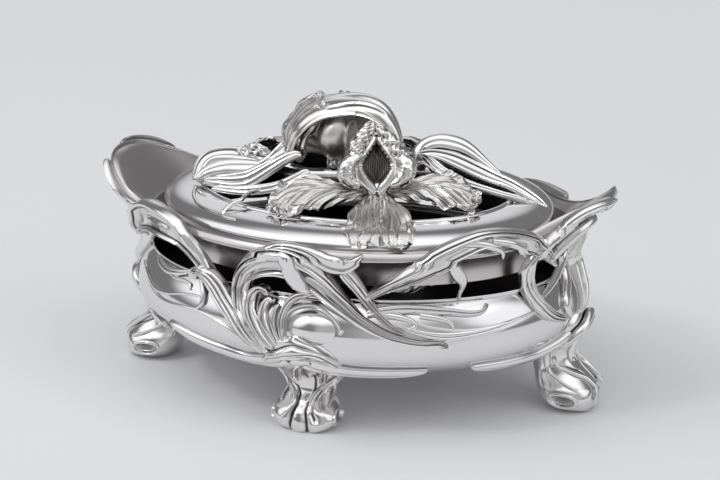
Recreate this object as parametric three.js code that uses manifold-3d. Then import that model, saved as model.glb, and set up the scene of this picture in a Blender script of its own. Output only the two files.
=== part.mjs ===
// Oval covered box in polished silver: a bowl on four cast feet, a flared collar carried above it
// by cast iris foliage and drawn out into a lip at each end, and a lift-off openwork lid whose
// finial is a pair of iris blossoms. Millimetres, +Z up, +X along the box, origin on the table
// under the middle of the bowl. The front is towards -Y.
import * as THREE from 'three';
import { mergeVertices } from 'three/addons/utils/BufferGeometryUtils.js';
import Module from 'manifold-3d';

const kernel = await Module();
kernel.setup();

// Clearances
const SEAT = 0.35;            // space between a cast piece and the sheet or casting that carries it
const DROP_IN = 0.6;          // side play of the lid's bezel inside its seat

// Bowl: quarter-ellipse profile below the belly, a shorter one above it
const BELLY_A = 114.5;        // half length at the belly
const BELLY_B = 85.5;         // half width at the belly
const BELLY_Z = 50;           // height of the belly above the table
const BELLY_DROP = 26;        // from the belly down to the underside
const UNDER_TUCK = 50;        // how far the underside draws in
const SHOULDER_RISE = 26;     // vertical half axis of the shoulder's arc
const SHOULDER_TUCK = 29;     // horizontal half axis of the shoulder's arc
const SHOULDER_TURN = 44.8;   // degrees of that arc that the shoulder uses
const WALL = 2;               // thickness of the sheet
const BEAD = 1.1;             // radius of the rolled bead on the bowl's edge

// Collar: concave flare, with a lip at each end
const SLOT = 5.5;             // open slot between the bowl's bead and the collar
const COLLAR_H = 16.5;        // height of the collar between the lips
const WAIST_TUCK_A = 16;      // waist inside the belly, at the ends
const WAIST_TUCK_B = 12.5;    // waist inside the belly, at the front and back
const FLARE_A = 8.1;          // flare of the collar at the ends
const FLARE_B = 10.2;         // flare of the collar at the front and back
const LIP_REACH = 23.4;         // how far a lip stands out past the flare
const LIP_RISE = 18;          // how far a lip rises above the rim
const LIP_SPREAD = 15.5;        // degrees of polar angle, half width of a lip in plan
const LIP_SWING = 1;          // degrees that the lips' tips are swung anticlockwise
const LIP_LEFT = 12;          // degrees, half width of the raised part on the tip's side
const LIP_RIGHT = 17;         // degrees, half width of the raised part on the other side
const RIM_BEAD = 0.8;         // thickening along the rim

// Lid
const GROOVE_A = 7.6;         // from the rim in to the lid's edge, at the ends
const GROOVE_B = 5.2;         // from the rim in to the lid's edge, at the front and back
const BAND_A = 18.5;          // width of the lid's band at the ends
const BAND_B = 17.5;          // width of the lid's band at the front and back
const BAND_RISE = 7.3;        // crown of the band above its edge
const BAND_EDGE = 4.7;        // upright edge of the band
const BAND_WALL = 1.8;        // thickness of the band
const LEDGE_DROP = 2.5;       // lid's seat below the rim
const LEDGE_T = 2.2;          // thickness of the seat
const BEZEL_IN = 6.6;         // bezel inside the lid's edge
const BEZEL_T = 1.4;          // thickness of the bezel
const BEZEL_H = 7;            // how far the bezel hangs below the lid's edge
const WIRE_R = 1.4;           // radius of the wire round the opening

// Finial
const FINIAL_TURN = 18.8;     // degrees from the front to the axis that the two blossoms lie on
const PETAL = 1.1;            // thickness of a petal

// Feet
const END_TOE = 12.5;         // toe tips beyond the belly, at the ends
const SIDE_TOE = -5.5;        // toe tips beyond the belly, at the front and back
const SOLE_W = 17;            // half width of a foot over its side volutes
const SIDE_FOOT_AT = 268;     // polar angle of the front foot, a little left of the middle

// Facets round the ovals and lips
const ROUND = 40;
const COLLAR_ROUND = 56;

const rad = THREE.MathUtils.degToRad;
const V = (x, y, z) => new THREE.Vector3(x, y, z);
const BOWL_BASE = BELLY_Z - BELLY_DROP;
const BOWL_TOP = BELLY_Z + SHOULDER_RISE * Math.sin(rad(SHOULDER_TURN)) + 2 * BEAD;
const COLLAR_Z = BOWL_TOP + SLOT;
const RIM_Z = COLLAR_Z + COLLAR_H;
const WAIST_A = BELLY_A - WAIST_TUCK_A;
const WAIST_B = BELLY_B - WAIST_TUCK_B;
const RIM_A = WAIST_A + FLARE_A;
const RIM_B = WAIST_B + FLARE_B;
const LEDGE_Z = RIM_Z - LEDGE_DROP;
const LID_A = RIM_A - GROOVE_A;
const LID_B = RIM_B - GROOVE_B;
const LID_Z = LEDGE_Z + SEAT;
const OPEN_A = LID_A - BAND_A;
const OPEN_B = LID_B - BAND_B;
const OPEN_Z = LID_Z + BAND_EDGE + BAND_RISE;

// Materials
const silver = (name, color, roughness) =>
  Object.assign(new THREE.MeshStandardMaterial({ color, roughness, metalness: 1 }), { name });
const SHEET = silver('polished_sheet', 0xc9c6c8, 0.15);
const CAST = silver('cast_silver', 0xb9b4b4, 0.25);
const BLOSSOM = silver('blossom_silver', 0xc4c0bf, 0.3);

// Solids

// Closed solid through equal rings of points, each end closed by a fan, faces turned outward.
function loft(rings) {
  const n = rings[0].length;
  const pts = rings.flat();
  const tris = [];
  for (let i = 0; i + 1 < rings.length; i++)
    for (let j = 0; j < n; j++) {
      const a = i * n + j;
      const b = i * n + (j + 1) % n;
      tris.push(a, b, b + n, a, b + n, a + n);
    }
  for (const [first, end] of [[0, true], [(rings.length - 1) * n, false]]) {
    const hub = pts.length;
    pts.push(pts.slice(first, first + n).reduce((s, p) => s.add(p), V(0, 0, 0)).divideScalar(n));
    for (let j = 0; j < n; j++) {
      const pair = [first + j, first + (j + 1) % n];
      tris.push(hub, ...(end ? pair.reverse() : pair));
    }
  }
  let volume = 0;
  for (let t = 0; t < tris.length; t += 3)
    volume += pts[tris[t]].dot(V(0, 0, 0).crossVectors(pts[tris[t + 1]], pts[tris[t + 2]]));
  if (volume < 0) tris.reverse();
  return new kernel.Manifold(new kernel.Mesh({
    numProp: 3,
    vertProperties: new Float32Array(pts.flatMap((p) => [p.x, p.y, p.z])),
    triVerts: new Uint32Array(tris),
  }));
}

// Closed ring-shaped solid: rings of points whose last ring joins the first again.
function hoop(rings) {
  const n = rings[0].length;
  const m = rings.length;
  const pts = rings.flat();
  const tris = [];
  for (let i = 0; i < m; i++)
    for (let j = 0; j < n; j++) {
      const [a, b] = [i * n + j, i * n + (j + 1) % n];
      const [c, d] = [((i + 1) % m) * n + j, ((i + 1) % m) * n + (j + 1) % n];
      tris.push(a, b, d, a, d, c);
    }
  let volume = 0;
  for (let t = 0; t < tris.length; t += 3)
    volume += pts[tris[t]].dot(V(0, 0, 0).crossVectors(pts[tris[t + 1]], pts[tris[t + 2]]));
  if (volume < 0) tris.reverse();
  return new kernel.Manifold(new kernel.Mesh({
    numProp: 3,
    vertProperties: new Float32Array(pts.flatMap((p) => [p.x, p.y, p.z])),
    triVerts: new Uint32Array(tris),
  }));
}

// Geometry of a solid, for a mesh.
function geometryOf(solid) {
  const mesh = solid.getMesh();
  const geometry = new THREE.BufferGeometry();
  const xyz = new Float32Array(mesh.triVerts.length * 3);
  mesh.triVerts.forEach((v, i) => {
    for (let c = 0; c < 3; c++) xyz[3 * i + c] = mesh.vertProperties[mesh.numProp * v + c];
  });
  geometry.setAttribute('position', new THREE.BufferAttribute(xyz, 3));
  return mergeVertices(geometry, 1e-5);
}

// The same solid with every face moved out by a gap, used as a cutter with clearance: each vertex
// goes along the mean of its faces' normals, far enough for the face that it helps least.
function swollen(solid, gap) {
  const geometry = geometryOf(solid);
  const [position, index] = [geometry.attributes.position, geometry.index.array];
  const facing = Array.from({ length: position.count }, () => []);
  const corner = (i) => V(0, 0, 0).fromBufferAttribute(position, i);
  for (let t = 0; t < index.length; t += 3) {
    const [a, b, c] = [0, 1, 2].map((k) => corner(index[t + k]));
    const normal = b.sub(a).cross(c.sub(a)).normalize();
    for (let k = 0; k < 3; k++) facing[index[t + k]].push(normal);
  }
  const moved = facing.flatMap((normals, i) => {
    const mean = normals.reduce((sum, n) => sum.add(n), V(0, 0, 0)).normalize();
    const least = Math.max(0.3, ...[Math.min(...normals.map((n) => n.dot(mean)))]);
    return corner(i).addScaledVector(mean, gap / least).toArray();
  });
  return new kernel.Manifold(new kernel.Mesh({
    numProp: 3, vertProperties: new Float32Array(moved), triVerts: new Uint32Array(index),
  }));
}

// What is left of a piece beside its neighbours: the largest body, clear of each by the seat gap,
// with slivers along its cuts smoothed away.
const FAIR = 0.12;
function beside(piece, ...neighbours) {
  for (const other of neighbours) piece = piece.subtract(swollen(other, SEAT));
  const bodies = piece.simplify(FAIR).decompose();
  return bodies.reduce((best, b) => (b.volume() > best.volume() ? b : best));
}

const joined = (solids) => solids.reduce((sum, s) => sum.add(s)).simplify(FAIR);

// Smooth row of numbers at t, from 0 to 1, through a list of equal rows.
function through(rows, t) {
  const s = t * (rows.length - 1);
  const i = Math.min(Math.floor(s), rows.length - 2);
  const f = s - i;
  const row = (k) => rows[THREE.MathUtils.clamp(k, 0, rows.length - 1)];
  return rows[0].map((_, c) => {
    const [a, b, d, e] = [row(i - 1)[c], row(i)[c], row(i + 1)[c], row(i + 2)[c]];
    return b + 0.5 * f * (d - a + f * (2 * a - 5 * b + 4 * d - e + f * (3 * (b - d) + e - a)));
  });
}

const spaced = (n, fn) => Array.from({ length: n + 1 }, (_, i) => fn(i / n));
const around = (n, fn) => Array.from({ length: n }, (_, i) => fn((360 * i) / n));

// Surfaces of the box

// Point on an oval of half axes a and b at a polar angle, pushed out by some radius.
function oval(deg, a, b, z, out = 0) {
  const [c, s] = [Math.cos(rad(deg)), Math.sin(rad(deg))];
  const r = 1 / Math.hypot(c / a, s / b) + out;
  return V(r * c, r * s, z);
}

// Bowl: turn runs from -90 at the underside through 0 at the belly up the shoulder.
function bowlSkin(deg, turn) {
  const [rise, tuck] = turn < 0 ? [BELLY_DROP, UNDER_TUCK] : [SHOULDER_RISE, SHOULDER_TUCK];
  const inset = tuck * (1 - Math.cos(rad(turn)));
  return oval(deg, BELLY_A - inset, BELLY_B - inset, BELLY_Z + rise * Math.sin(rad(turn)));
}

// Bowl's outside by height instead of by turn.
function bowlAt(deg, z) {
  const rise = z < BELLY_Z ? BELLY_DROP : SHOULDER_RISE;
  return bowlSkin(deg, THREE.MathUtils.radToDeg(Math.asin(
    THREE.MathUtils.clamp((z - BELLY_Z) / rise, -0.999, 0.999))));
}

// Share of a lip's reach and rise at a polar angle.
function lip(deg) {
  const off = ((((deg + 90) % 180) + 180) % 180) - 90;
  const side = off > 0 ? LIP_LEFT : LIP_RIGHT;
  return [Math.exp(-(Math.abs((off - LIP_SWING) / LIP_SPREAD) ** 3)), Math.exp(-(Math.abs(off / side) ** 3))];
}

// Height and flare of a lip start low on the collar and grow towards the rim.
function lipped(deg, up, a, b, z) {
  const [reach, rise] = lip(deg);
  const k = THREE.MathUtils.clamp(up, 0, 1);
  return oval(deg, a, b, z + LIP_RISE * rise * k ** 1.3, LIP_REACH * reach * k ** 1.7);
}

// Collar: up runs from 0 at the waist to 1 at the rim.
function collarSkin(deg, up) {
  const flare = Math.max(up, 0) ** 2.2;
  return lipped(deg, up, WAIST_A + FLARE_A * flare, WAIST_B + FLARE_B * flare, COLLAR_Z + COLLAR_H * up);
}

// Mount surface: the smooth skin that the cast foliage follows. It is the bowl below, bridges the
// slot and the waist, and passes just outside the rim.
const MOUNT_LOW = BELLY_Z + 10;
const MOUNT_RIM = 1.4;        // outside the rim
const MOUNT_HOLLOW = 5.6;     // how far it draws in over the waist
function mountSkin(deg, z) {
  if (z <= MOUNT_LOW) return bowlAt(deg, z);
  const t = THREE.MathUtils.clamp((z - MOUNT_LOW) / (RIM_Z - MOUNT_LOW), 0, 1);
  const low = SHOULDER_TUCK * (1 - Math.sqrt(1 - ((MOUNT_LOW - BELLY_Z) / SHOULDER_RISE) ** 2));
  const sag = MOUNT_HOLLOW * Math.sin(Math.PI * t);
  const a = THREE.MathUtils.lerp(BELLY_A - low, RIM_A + MOUNT_RIM, t) - sag;
  const b = THREE.MathUtils.lerp(BELLY_B - low, RIM_B + MOUNT_RIM, t) - sag;
  return lipped(deg, (z - COLLAR_Z) / COLLAR_H, a, b, z);
}

// Lid's band: turn runs from 0 at the outer edge to 90 at the opening.
const bandSkin = (deg, turn) => oval(deg, OPEN_A + BAND_A * Math.cos(rad(turn)),
  OPEN_B + BAND_B * Math.cos(rad(turn)), LID_Z + BAND_EDGE + BAND_RISE * Math.sin(rad(turn)));

// Outward unit normal of a surface given as a function of two parameters.
function normalOf(skin, u, v, du = 0.2, dv = 0.05) {
  const along = skin(u + du, v).sub(skin(u - du, v));
  const up = skin(u, v + dv).sub(skin(u, v - dv));
  return along.cross(up).normalize();
}

// Ring of points on a surface, moved along its normal.
const ringOn = (n, skin, v, out = 0, dv = 0.05) => around(n, (deg) =>
  skin(deg, v).addScaledVector(normalOf(skin, deg, v, 0.2, dv), out));

// Height of the lid's band over a point in plan, or of its edges where the point is off the band.
function bandTop(x, y) {
  let [lo, hi] = [0, 1];
  for (let i = 0; i < 30; i++) {
    const c = (lo + hi) / 2;
    if (Math.hypot(x / (OPEN_A + BAND_A * c), y / (OPEN_B + BAND_B * c)) > 1) lo = c;
    else hi = c;
  }
  const inside = Math.hypot(x / (OPEN_A - 2 * WIRE_R), y / (OPEN_B - 2 * WIRE_R)) < 1;
  return inside ? -Infinity : LID_Z + BAND_EDGE + BAND_RISE * Math.sqrt(1 - lo * lo);
}

// Straps

// Cross-section of a strap: a dome over a flat underside, with a groove between each two ribs.
const GROOVE = 0.24;          // depth of a groove as a share of the strap's thickness
function section(place, width, height, ribs) {
  const count = ribs < 2 ? 4 : 2 * ribs + 1;
  const top = Array.from({ length: count }, (_, i) => {
    const s = (2 * i) / (count - 1) - 1;
    const cut = ribs > 1 && i % 2 === 0 && Math.abs(s) < 1 ? GROOVE : 0;
    return place(s * width / 2, height * (0.3 + 0.7 * Math.sqrt(1 - s * s) - cut));
  });
  return [...top, place(width / 2, 0), place(-width / 2, 0)];
}

// Strap laid on a surface. Rows hold degrees, height, lift, width and thickness.
function strapOn(skin, rows, ribs = 0, steps = Math.ceil(1.4 * (rows.length - 1))) {
  const spot = (t) => through(rows, THREE.MathUtils.clamp(t, 0, 1));
  return loft(spaced(steps, (t) => {
    const [deg, z, lift, width, height] = spot(t);
    const [before, after] = [spot(t - 0.01), spot(t + 0.01)];
    const tangent = skin(after[0], after[1]).sub(skin(before[0], before[1])).normalize();
    const side = tangent.cross(normalOf(skin, deg, z)).normalize();
    const perDeg = skin(deg + 0.5, z).sub(skin(deg - 0.5, z));
    const perZ = skin(deg, z + 0.5).sub(skin(deg, z - 0.5));
    const [dDeg, dZ] = [side.dot(perDeg) / perDeg.lengthSq(), side.dot(perZ) / perZ.lengthSq()];
    return section((s, up) => {
      const [u, v] = [deg + s * dDeg, z + s * dZ];
      return skin(u, v).addScaledVector(normalOf(skin, u, v), SEAT + lift + up);
    }, width, height, ribs);
  }));
}

// Strap in free space. Rows hold x, y, z of its underside, width, thickness and a lean in degrees
// from lying flat, towards its right-hand side.
function strapFree(rows, ribs = 0, steps = Math.ceil(1.4 * (rows.length - 1))) {
  const spot = (t) => through(rows, THREE.MathUtils.clamp(t, 0, 1));
  const at = (r) => V(r[0], r[1], r[2]);
  return loft(spaced(steps, (t) => {
    const row = spot(t);
    const tangent = at(spot(t + 0.01)).sub(at(spot(t - 0.01))).normalize();
    const side = V(0, 0, 0).crossVectors(tangent, V(0, 0, 1)).normalize().applyAxisAngle(tangent, rad(row[5]));
    const up = V(0, 0, 0).crossVectors(side, tangent);
    return section((s, h) => at(row).addScaledVector(side, s).addScaledVector(up, h), row[3], row[4], ribs);
  }));
}

// Petal: a grid of points (u along, v from -1 to 1 across) given a thickness on its upper side, which
// may be a function of u and v.
function petal(grid, steps, cross, thickness) {
  return loft(spaced(steps, (u) => {
    const under = spaced(cross, (v) => grid(u, 2 * v - 1));
    const over = spaced(cross, (w) => {
      const v = 2 * w - 1;
      const along = grid(Math.min(u + 0.02, 1), v).sub(grid(Math.max(u - 0.02, 0), v));
      const out = grid(u, Math.min(v + 0.05, 1)).sub(grid(u, Math.max(v - 0.05, -1)));
      return grid(u, v).addScaledVector(along.cross(out).normalize(),
        typeof thickness === 'number' ? thickness : thickness(u, v));
    });
    return [...under, ...over.reverse()];
  }));
}

// Box body

function bowl() {
  const skin = (deg, turn) => bowlSkin(deg, turn);
  const ring = (turn, out) => ringOn(ROUND, skin, turn, out, 0.5);
  const topTurn = SHOULDER_TURN;
  const lipRing = (out, up) => ringOn(ROUND, skin, topTurn, out, 0.5).map((p) => p.setZ(
    BELLY_Z + SHOULDER_RISE * Math.sin(rad(topTurn)) + up));
  const floor = (z, out) => around(ROUND, (deg) =>
    oval(deg, BELLY_A - UNDER_TUCK + out, BELLY_B - UNDER_TUCK + out, z));
  return loft([
    floor(BOWL_BASE, 0), ...[-70, -48, -26, -4, 20].map((turn) => ring(turn, 0)),
    lipRing(0, 0), lipRing(BEAD, 0.8 * BEAD), lipRing(0, 2 * BEAD), lipRing(-WALL, 1.7 * BEAD), ...[26, -8, -48].map((turn) => ring(turn, -WALL)),
    floor(BOWL_BASE + WALL, -1),
  ]);
}

function collar() {
  const ring = (up, out, lift = 0) => ringOn(COLLAR_ROUND, collarSkin, up, out, 0.01)
    .map((p) => p.setZ(p.z + lift));
  const outer = [0, 0.4, 0.66, 0.86].map((up) => ring(up, 0));
  const inner = [0.82, 0.55, 0].map((up) => ring(up, -WALL));
  return hoop([...outer, ring(0.96, RIM_BEAD), ring(1, RIM_BEAD), ring(1, -WALL), ...inner]);
}

// Share of the collar's height at which its inside reaches a height z, at a polar angle.
function collarUpAt(deg, z) {
  let [lo, hi] = [0, 1];
  for (let i = 0; i < 30; i++) {
    const up = (lo + hi) / 2;
    if (collarSkin(deg, up).addScaledVector(normalOf(collarSkin, deg, up, 0.2, 0.01), -WALL).z < z) lo = up;
    else hi = up;
  }
  return lo;
}

function lidSeat() {
  const inner = (z) => around(ROUND, (deg) => oval(deg, LID_A - BEZEL_IN + DROP_IN, LID_B - BEZEL_IN + DROP_IN, z));
  const outer = (z) => around(ROUND, (deg) => {
    const up = collarUpAt(deg, z);
    return collarSkin(deg, up).addScaledVector(normalOf(collarSkin, deg, up, 0.2, 0.01), -WALL - 1.6 * SEAT)
      .setZ(z);
  });
  return hoop([inner(LEDGE_Z - LEDGE_T), outer(LEDGE_Z - LEDGE_T), outer(LEDGE_Z), inner(LEDGE_Z)]);
}

// Cast foot standing along +X: rows hold height, outer and inner reach measured from the toe tips,
// half width as a share of the sole's, and the depth of the grooves between its three toes.
function foot(rows, toe) {
  const points = [0, 15, 26, 37, 58, 90, 125, 160];
  points.push(...points.slice(1).reverse().map((q) => 360 - q));
  return loft(spaced(rows.length, (t) => {
    const [z, outer, inner, wide, groove] = through(rows, t);
    const half = (outer - inner) / 2;
    return points.map((q) => {
      const [c, s] = [Math.cos(rad(q)), Math.sin(rad(q))];
      const across = Math.sign(s) * Math.abs(s) ** 0.85;
      const cut = c > 0 ? groove * Math.exp(-(((Math.abs(across) - 0.42) / 0.13) ** 2)) : 0;
      return V(toe + (outer + inner) / 2 + half * Math.sign(c) * Math.abs(c) ** 0.8 - cut,
        across * wide * SOLE_W, Math.max(z, 0));
    });
  }));
}

const END_FOOT = [
  [0, -2.5, -24, 0.6, 1], [2.5, -0.6, -27, 0.85, 1.8], [7, 0, -30, 1, 2.2], [12, -1, -32, 0.93, 2.2],
  [16, -5, -33, 0.75, 1.8], [21, -10.5, -34, 0.6, 1.2], [27, -14.5, -34, 0.55, 0.8], [33, -14, -33, 0.6, 0.6],
  [39, -12, -30, 0.72, 0.5], [45, -9.5, -26, 0.72, 0.4], [50, -9.6, -20, 0.45, 0.2], [52, -10.8, -16, 0.15, 0],
];
const SIDE_FOOT = [
  [0, -2.5, -20, 0.6, 1], [2.5, -0.6, -23, 0.85, 1.8], [6, 0, -25, 1, 2.2], [10, -1.5, -26, 0.93, 2.2],
  [14, -6, -27, 0.7, 1.8], [19, -10.5, -28, 0.56, 1.2], [25, -11.5, -28, 0.52, 0.8], [31, -7, -26, 0.56, 0.6],
  [37, 0.5, -20, 0.7, 0.5], [43, 6.5, -14, 0.75, 0.4], [49, 9.2, -8, 0.5, 0.2], [52, 8.6, -3, 0.15, 0],
];

// Apron leaves run from a foot along the bowl's lower edge, one to each side.
const apron = (deg, reach, side) => strapOn(bowlAt, [
  [deg + side * 3, 41, 0.2, 6, 3], [deg + side * 9, 38, 0.2, 6, 2.6], [deg + side * reach * 0.55, 35, 0.2, 8, 2.4],
  [deg + side * reach * 0.8, 34, 0.2, 8, 2.2], [deg + side * reach, 36.5, 0.2, 2, 1.6],
], 0);

// The solid bowl with its seat gap, which every foot is cut by.
const bowlCutter = loft([
  around(ROUND, (deg) => oval(deg, BELLY_A - UNDER_TUCK, BELLY_B - UNDER_TUCK, BOWL_BASE - SEAT)),
  ...[-70, -48, -26, -4, 20].map((turn) => ringOn(ROUND, bowlSkin, turn, SEAT, 0.5)),
]);

function footAt(deg, rows, toe, reaches) {
  const cast = [foot(rows, toe).rotate([0, 0, deg]).subtract(bowlCutter)];
  reaches.forEach((reach, i) => cast.push(apron(deg, reach, i ? 1 : -1).subtract(bowlCutter)));
  return beside(joined(cast));
}

// Front mount: everything between the front foot and the rim

const scroll = () => joined([
  strapOn(mountSkin, [
    [265, 46, 0, 5, 3], [259, 54, 0, 9, 4.5], [253, 62, 0, 12, 5], [251, 70, 0, 12.5, 5.5], [252, 80, 0, 12, 5.5],
    [257, 89, 0, 11, 5.5], [264, 93, 0, 10, 5.5], [271, 88, 0, 10, 5.5], [276, 78, 0, 10, 5.5],
    [281, 68, 0, 9.5, 5], [287, 61, 0, 8.5, 4.5], [294, 58, 0, 6.5, 4], [303, 57, 0, 5, 3.5],
    [311, 55.5, 0, 3.5, 3], [313.5, 52, 0, 2.6, 2.6], [311.5, 50.3, 0, 2, 2.2],
  ], 3, 20),
  strapOn(mountSkin, [
    [268, 92, 3, 4, 3], [271, 88, 4.5, 6, 4], [273, 82, 5, 6.5, 4.5], [274, 76, 4.5, 5, 4],
    [274.5, 72.5, 3.5, 2.5, 2.5],
  ], 1),
  strapOn(mountSkin, [
    [284.5, 90, 0, 4, 3], [289, 79, 0, 5, 3.2], [293.5, 69, 0, 5, 3], [297.5, 63, 0, 4.5, 2.8],
    [302.5, 58.5, 0, 2.5, 2],
  ]),
  strapOn(mountSkin, [
    [258, 93, 1.5, 3, 2.5], [266, 97, 0.5, 5, 3], [274, 96.5, 0.5, 6, 3], [281, 94.5, 0.5, 7.5, 3],
    [287, 95, 0.5, 7, 3], [291.5, 98, 1, 2.5, 2],
  ], 1),
]);

const innerLeaves = () => joined([
  strapOn(mountSkin, [
    [264, 45, 0, 3, 2.5], [258, 52.5, 0, 6, 3.5], [252, 58.5, 0, 7, 4], [246, 64, 0, 7, 4], [241, 70, 1, 6, 4],
    [238, 74.5, 2.5, 5.5, 4], [235.5, 75.5, 3.5, 5, 3.8], [233.3, 73, 4, 4, 3.4], [232.8, 69.5, 3.5, 2.5, 2.5],
  ], 2),
  strapOn(mountSkin, [
    [264, 47, 0, 3, 2.5], [260.5, 53, 0, 6, 3.5], [257.5, 60, 0, 7, 4], [256, 66, 0, 6.5, 4.5],
    [257, 71, 1.5, 5, 4.5], [259.5, 70, 3, 3.5, 3.5],
  ], 2),
  strapOn(mountSkin, [[265, 47, 0, 2.5, 2.5], [263, 56, 0, 5, 3], [261, 63, 0, 5, 3.4], [259.5, 69, 1, 3.5, 3]], 1),
  strapOn(mountSkin, [
    [266, 47.5, 0, 2, 2], [264.5, 55, 0, 3.5, 3], [264.5, 62, 0.6, 3.5, 3.5], [266, 69, 2, 3.5, 3.5],
    [269.5, 75.5, 3, 3, 3],
  ]),
]);

// Oval boss inside a thin raised line.
const boss = () => joined([
  strapOn(bowlAt, [
    [267, 49.5, 0, 2, 1.6], [266, 55, 0, 2, 1.6], [267, 60, 0, 2, 1.6], [270.5, 63.5, 0, 2, 1.6],
    [275.5, 63.5, 0, 2, 1.6], [280, 60, 0, 2, 1.6], [283, 56.5, 0, 1.6, 1.4],
  ]),
  petal((u, v) => {
    const [deg, z] = [266.5 + 15.5 * u, 56 + 7.2 * v * Math.sqrt(1 - 0.97 * (2 * u - 1) ** 2)];
    return bowlAt(deg, z).addScaledVector(normalOf(bowlAt, deg, z), SEAT);
  }, 6, 4, (u, v) => 0.5 + 2 * (1 - (2 * u - 1) ** 2) * (1 - v * v)),
]);

const whiplash = () => joined([
  strapOn(mountSkin, [
    [292.5, 71, 0.5, 5, 4], [296, 75.5, 1.5, 6, 4.5], [300.5, 82, 2.5, 6.5, 4.5], [306, 90, 2.5, 6.5, 4.5],
    [312, 97, 2, 8, 4.5], [318, 101, 1.5, 10, 4.5], [324.5, 102.5, 1, 11, 4.5], [330.5, 100.5, 1, 10, 4.5],
    [335.5, 96, 1.2, 8, 4.5], [339, 91, 2, 6, 4.2], [341.5, 86, 3, 4, 3.5], [343.5, 82, 3.5, 2, 2.5],
  ], 3, 15),
  strapOn(mountSkin, [[319, 100, 1.5, 4, 3], [323.5, 98.5, 2.5, 5, 3.5], [327, 95.5, 3, 4.5, 3.2], [328.7, 92, 3, 2, 2]]),
  strapOn(mountSkin, [[326, 101, 1.5, 4, 3], [331, 98, 2.5, 5, 3.5], [334.5, 94, 3, 4, 3], [336, 91.5, 3, 2, 2]]),
]);

const bud = () => strapOn(mountSkin, [
  [315, 94, 1, 4, 3.5], [317.5, 89, 1.5, 6.5, 5], [319.3, 83.5, 1.8, 6.5, 5.5], [320.2, 78.5, 1.5, 4.5, 4.5],
  [320.5, 74.5, 0, 2.5, 3], [320.5, 70, -2.5, 2.5, 3],
]);

const tendrils = () => joined([
  strapOn(bowlAt, [
    [293, 66.5, 0, 4, 2.5], [299, 68, 0, 4.5, 2.6], [305, 68, 0, 4.5, 2.6], [311, 67.5, 0, 4.5, 2.6],
    [317, 66, 0, 4, 2.5], [322, 64.5, 0, 3, 2.4], [325.3, 65.5, 0, 2.4, 2.2], [326.2, 67.7, 0, 2, 2],
  ], 1),
  strapOn(bowlAt, [
    [295, 64.5, 0, 3.5, 2.4], [300, 66, 0, 3.5, 2.4], [304.3, 65, 0, 3, 2.4], [307, 63, 0, 2.6, 2.4], [305.3, 61, 0, 2, 2],
  ]),
  strapOn(bowlAt, [[308, 67, 0, 3.5, 2.4], [312.5, 65.5, 0, 3, 2.4], [316, 63, 0, 2, 2]]),
]);

// End mounts: the crescent band with its iris bud, the stem that climbs the lip, and the whip hook

const crescent = () => joined([
  strapOn(mountSkin, [
    [344, 87, 1.5, 3, 3], [341, 81, 1, 5, 3.6], [340.5, 73, 0.5, 6.5, 4], [341.5, 66, 0, 7, 4], [344, 60, 0, 6.5, 4],
    [349, 54.5, 0, 5, 3.4], [354, 52, 0, 3.5, 3],
  ], 3),
]);

const irisBud = () => joined([
  strapOn(mountSkin, [
    [349, 84, 0.5, 5, 3.5], [352.5, 77, 0.5, 7, 4.5], [352, 69, 0, 6, 4.5], [351, 62, 0, 5, 4], [353, 56, 0, 4, 3.4],
    [356, 51.5, 0, 2.5, 2.5],
  ], 1),
  strapOn(mountSkin, [
    [358, 84, 0.5, 5, 4], [362, 77, 1, 8, 6], [362.5, 69, 0.5, 10, 7], [361, 61, 0, 9, 6], [359, 54, 0, 6, 4],
    [357, 49.5, 0, 3, 2.6],
  ], 2),
  strapOn(mountSkin, [
    [345, 62.5, 0, 3, 2.5], [349, 67, 0, 3.5, 3], [353, 73, 0.6, 4, 3.4], [357.5, 79, 1, 4, 3.6], [362, 84, 1, 3, 3],
  ]),
  strapOn(mountSkin, [
    [366, 85, 0.5, 3, 3], [368.5, 77, 0.5, 5, 4], [369, 69, 0, 6, 5], [367, 61, 0, 6, 4.6], [363, 54, 0, 4, 3.4],
    [359.5, 50, 0, 2.5, 2.5],
  ], 1),
]);

const lipStem = () => joined([
  strapOn(mountSkin, [
    [341, 82, 1.5, 4, 3.5], [341, 87, 1.5, 6, 4], [342.5, 91, 1.2, 6.5, 4], [345.5, 92.6, 1, 6, 3.8],
    [349.5, 92.6, 0.6, 5, 3.4], [354, 92, 0.2, 4, 3], [357.5, 91.5, 0, 2, 2],
  ], 2),
  strapOn(mountSkin, [
    [345.5, 80, 1.5, 4, 3], [347, 84, 1.5, 5, 3.2], [350, 88, 1.2, 5, 3.2], [354, 90.5, 1, 4, 3], [357, 90.5, 1, 2, 2],
  ]),
]);

const hook = () => joined([
  strapOn(mountSkin, [
    [232.5, 70, 0, 4, 3], [232.5, 79, 0, 5, 3.5], [232, 87, 1, 6.5, 4], [229.5, 93, 1.5, 8, 4.5],
    [225, 97, 1.5, 9, 5], [219, 99.5, 1.5, 10, 5.5], [212, 99, 2, 11, 6], [205.5, 95.5, 3, 10, 6],
    [201.5, 90, 4, 8, 5.5], [200, 84, 4, 5.5, 4.5], [200.5, 78.5, 3, 3, 3],
  ], 3, 14),
  strapOn(mountSkin, [
    [206, 94, 1, 4, 3], [200, 92, 0.4, 4, 3], [195, 91.5, 0, 4, 2.6], [190.5, 91.5, 0, 4.5, 2.4], [186.5, 91.5, 0, 3, 2],
  ], 1),
]);

// Lid

function lidBand() {
  const turns = [0, 25, 48, 70, 90];
  const under = (turn, in_) => ringOn(ROUND, bandSkin, turn, in_, 0.5);
  const edge = around(ROUND, (deg) => oval(deg, LID_A - 1.5, LID_B - 1.5, LID_Z));
  const edgeIn = around(ROUND, (deg) => oval(deg, LID_A - 1.5 - BAND_WALL, LID_B - 1.5 - BAND_WALL, LID_Z));
  return hoop([edge, ...turns.map((turn) => under(turn, 0)),
    ...[90, 58, 25].map((turn) => under(turn, -BAND_WALL)), edgeIn]);
}

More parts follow.
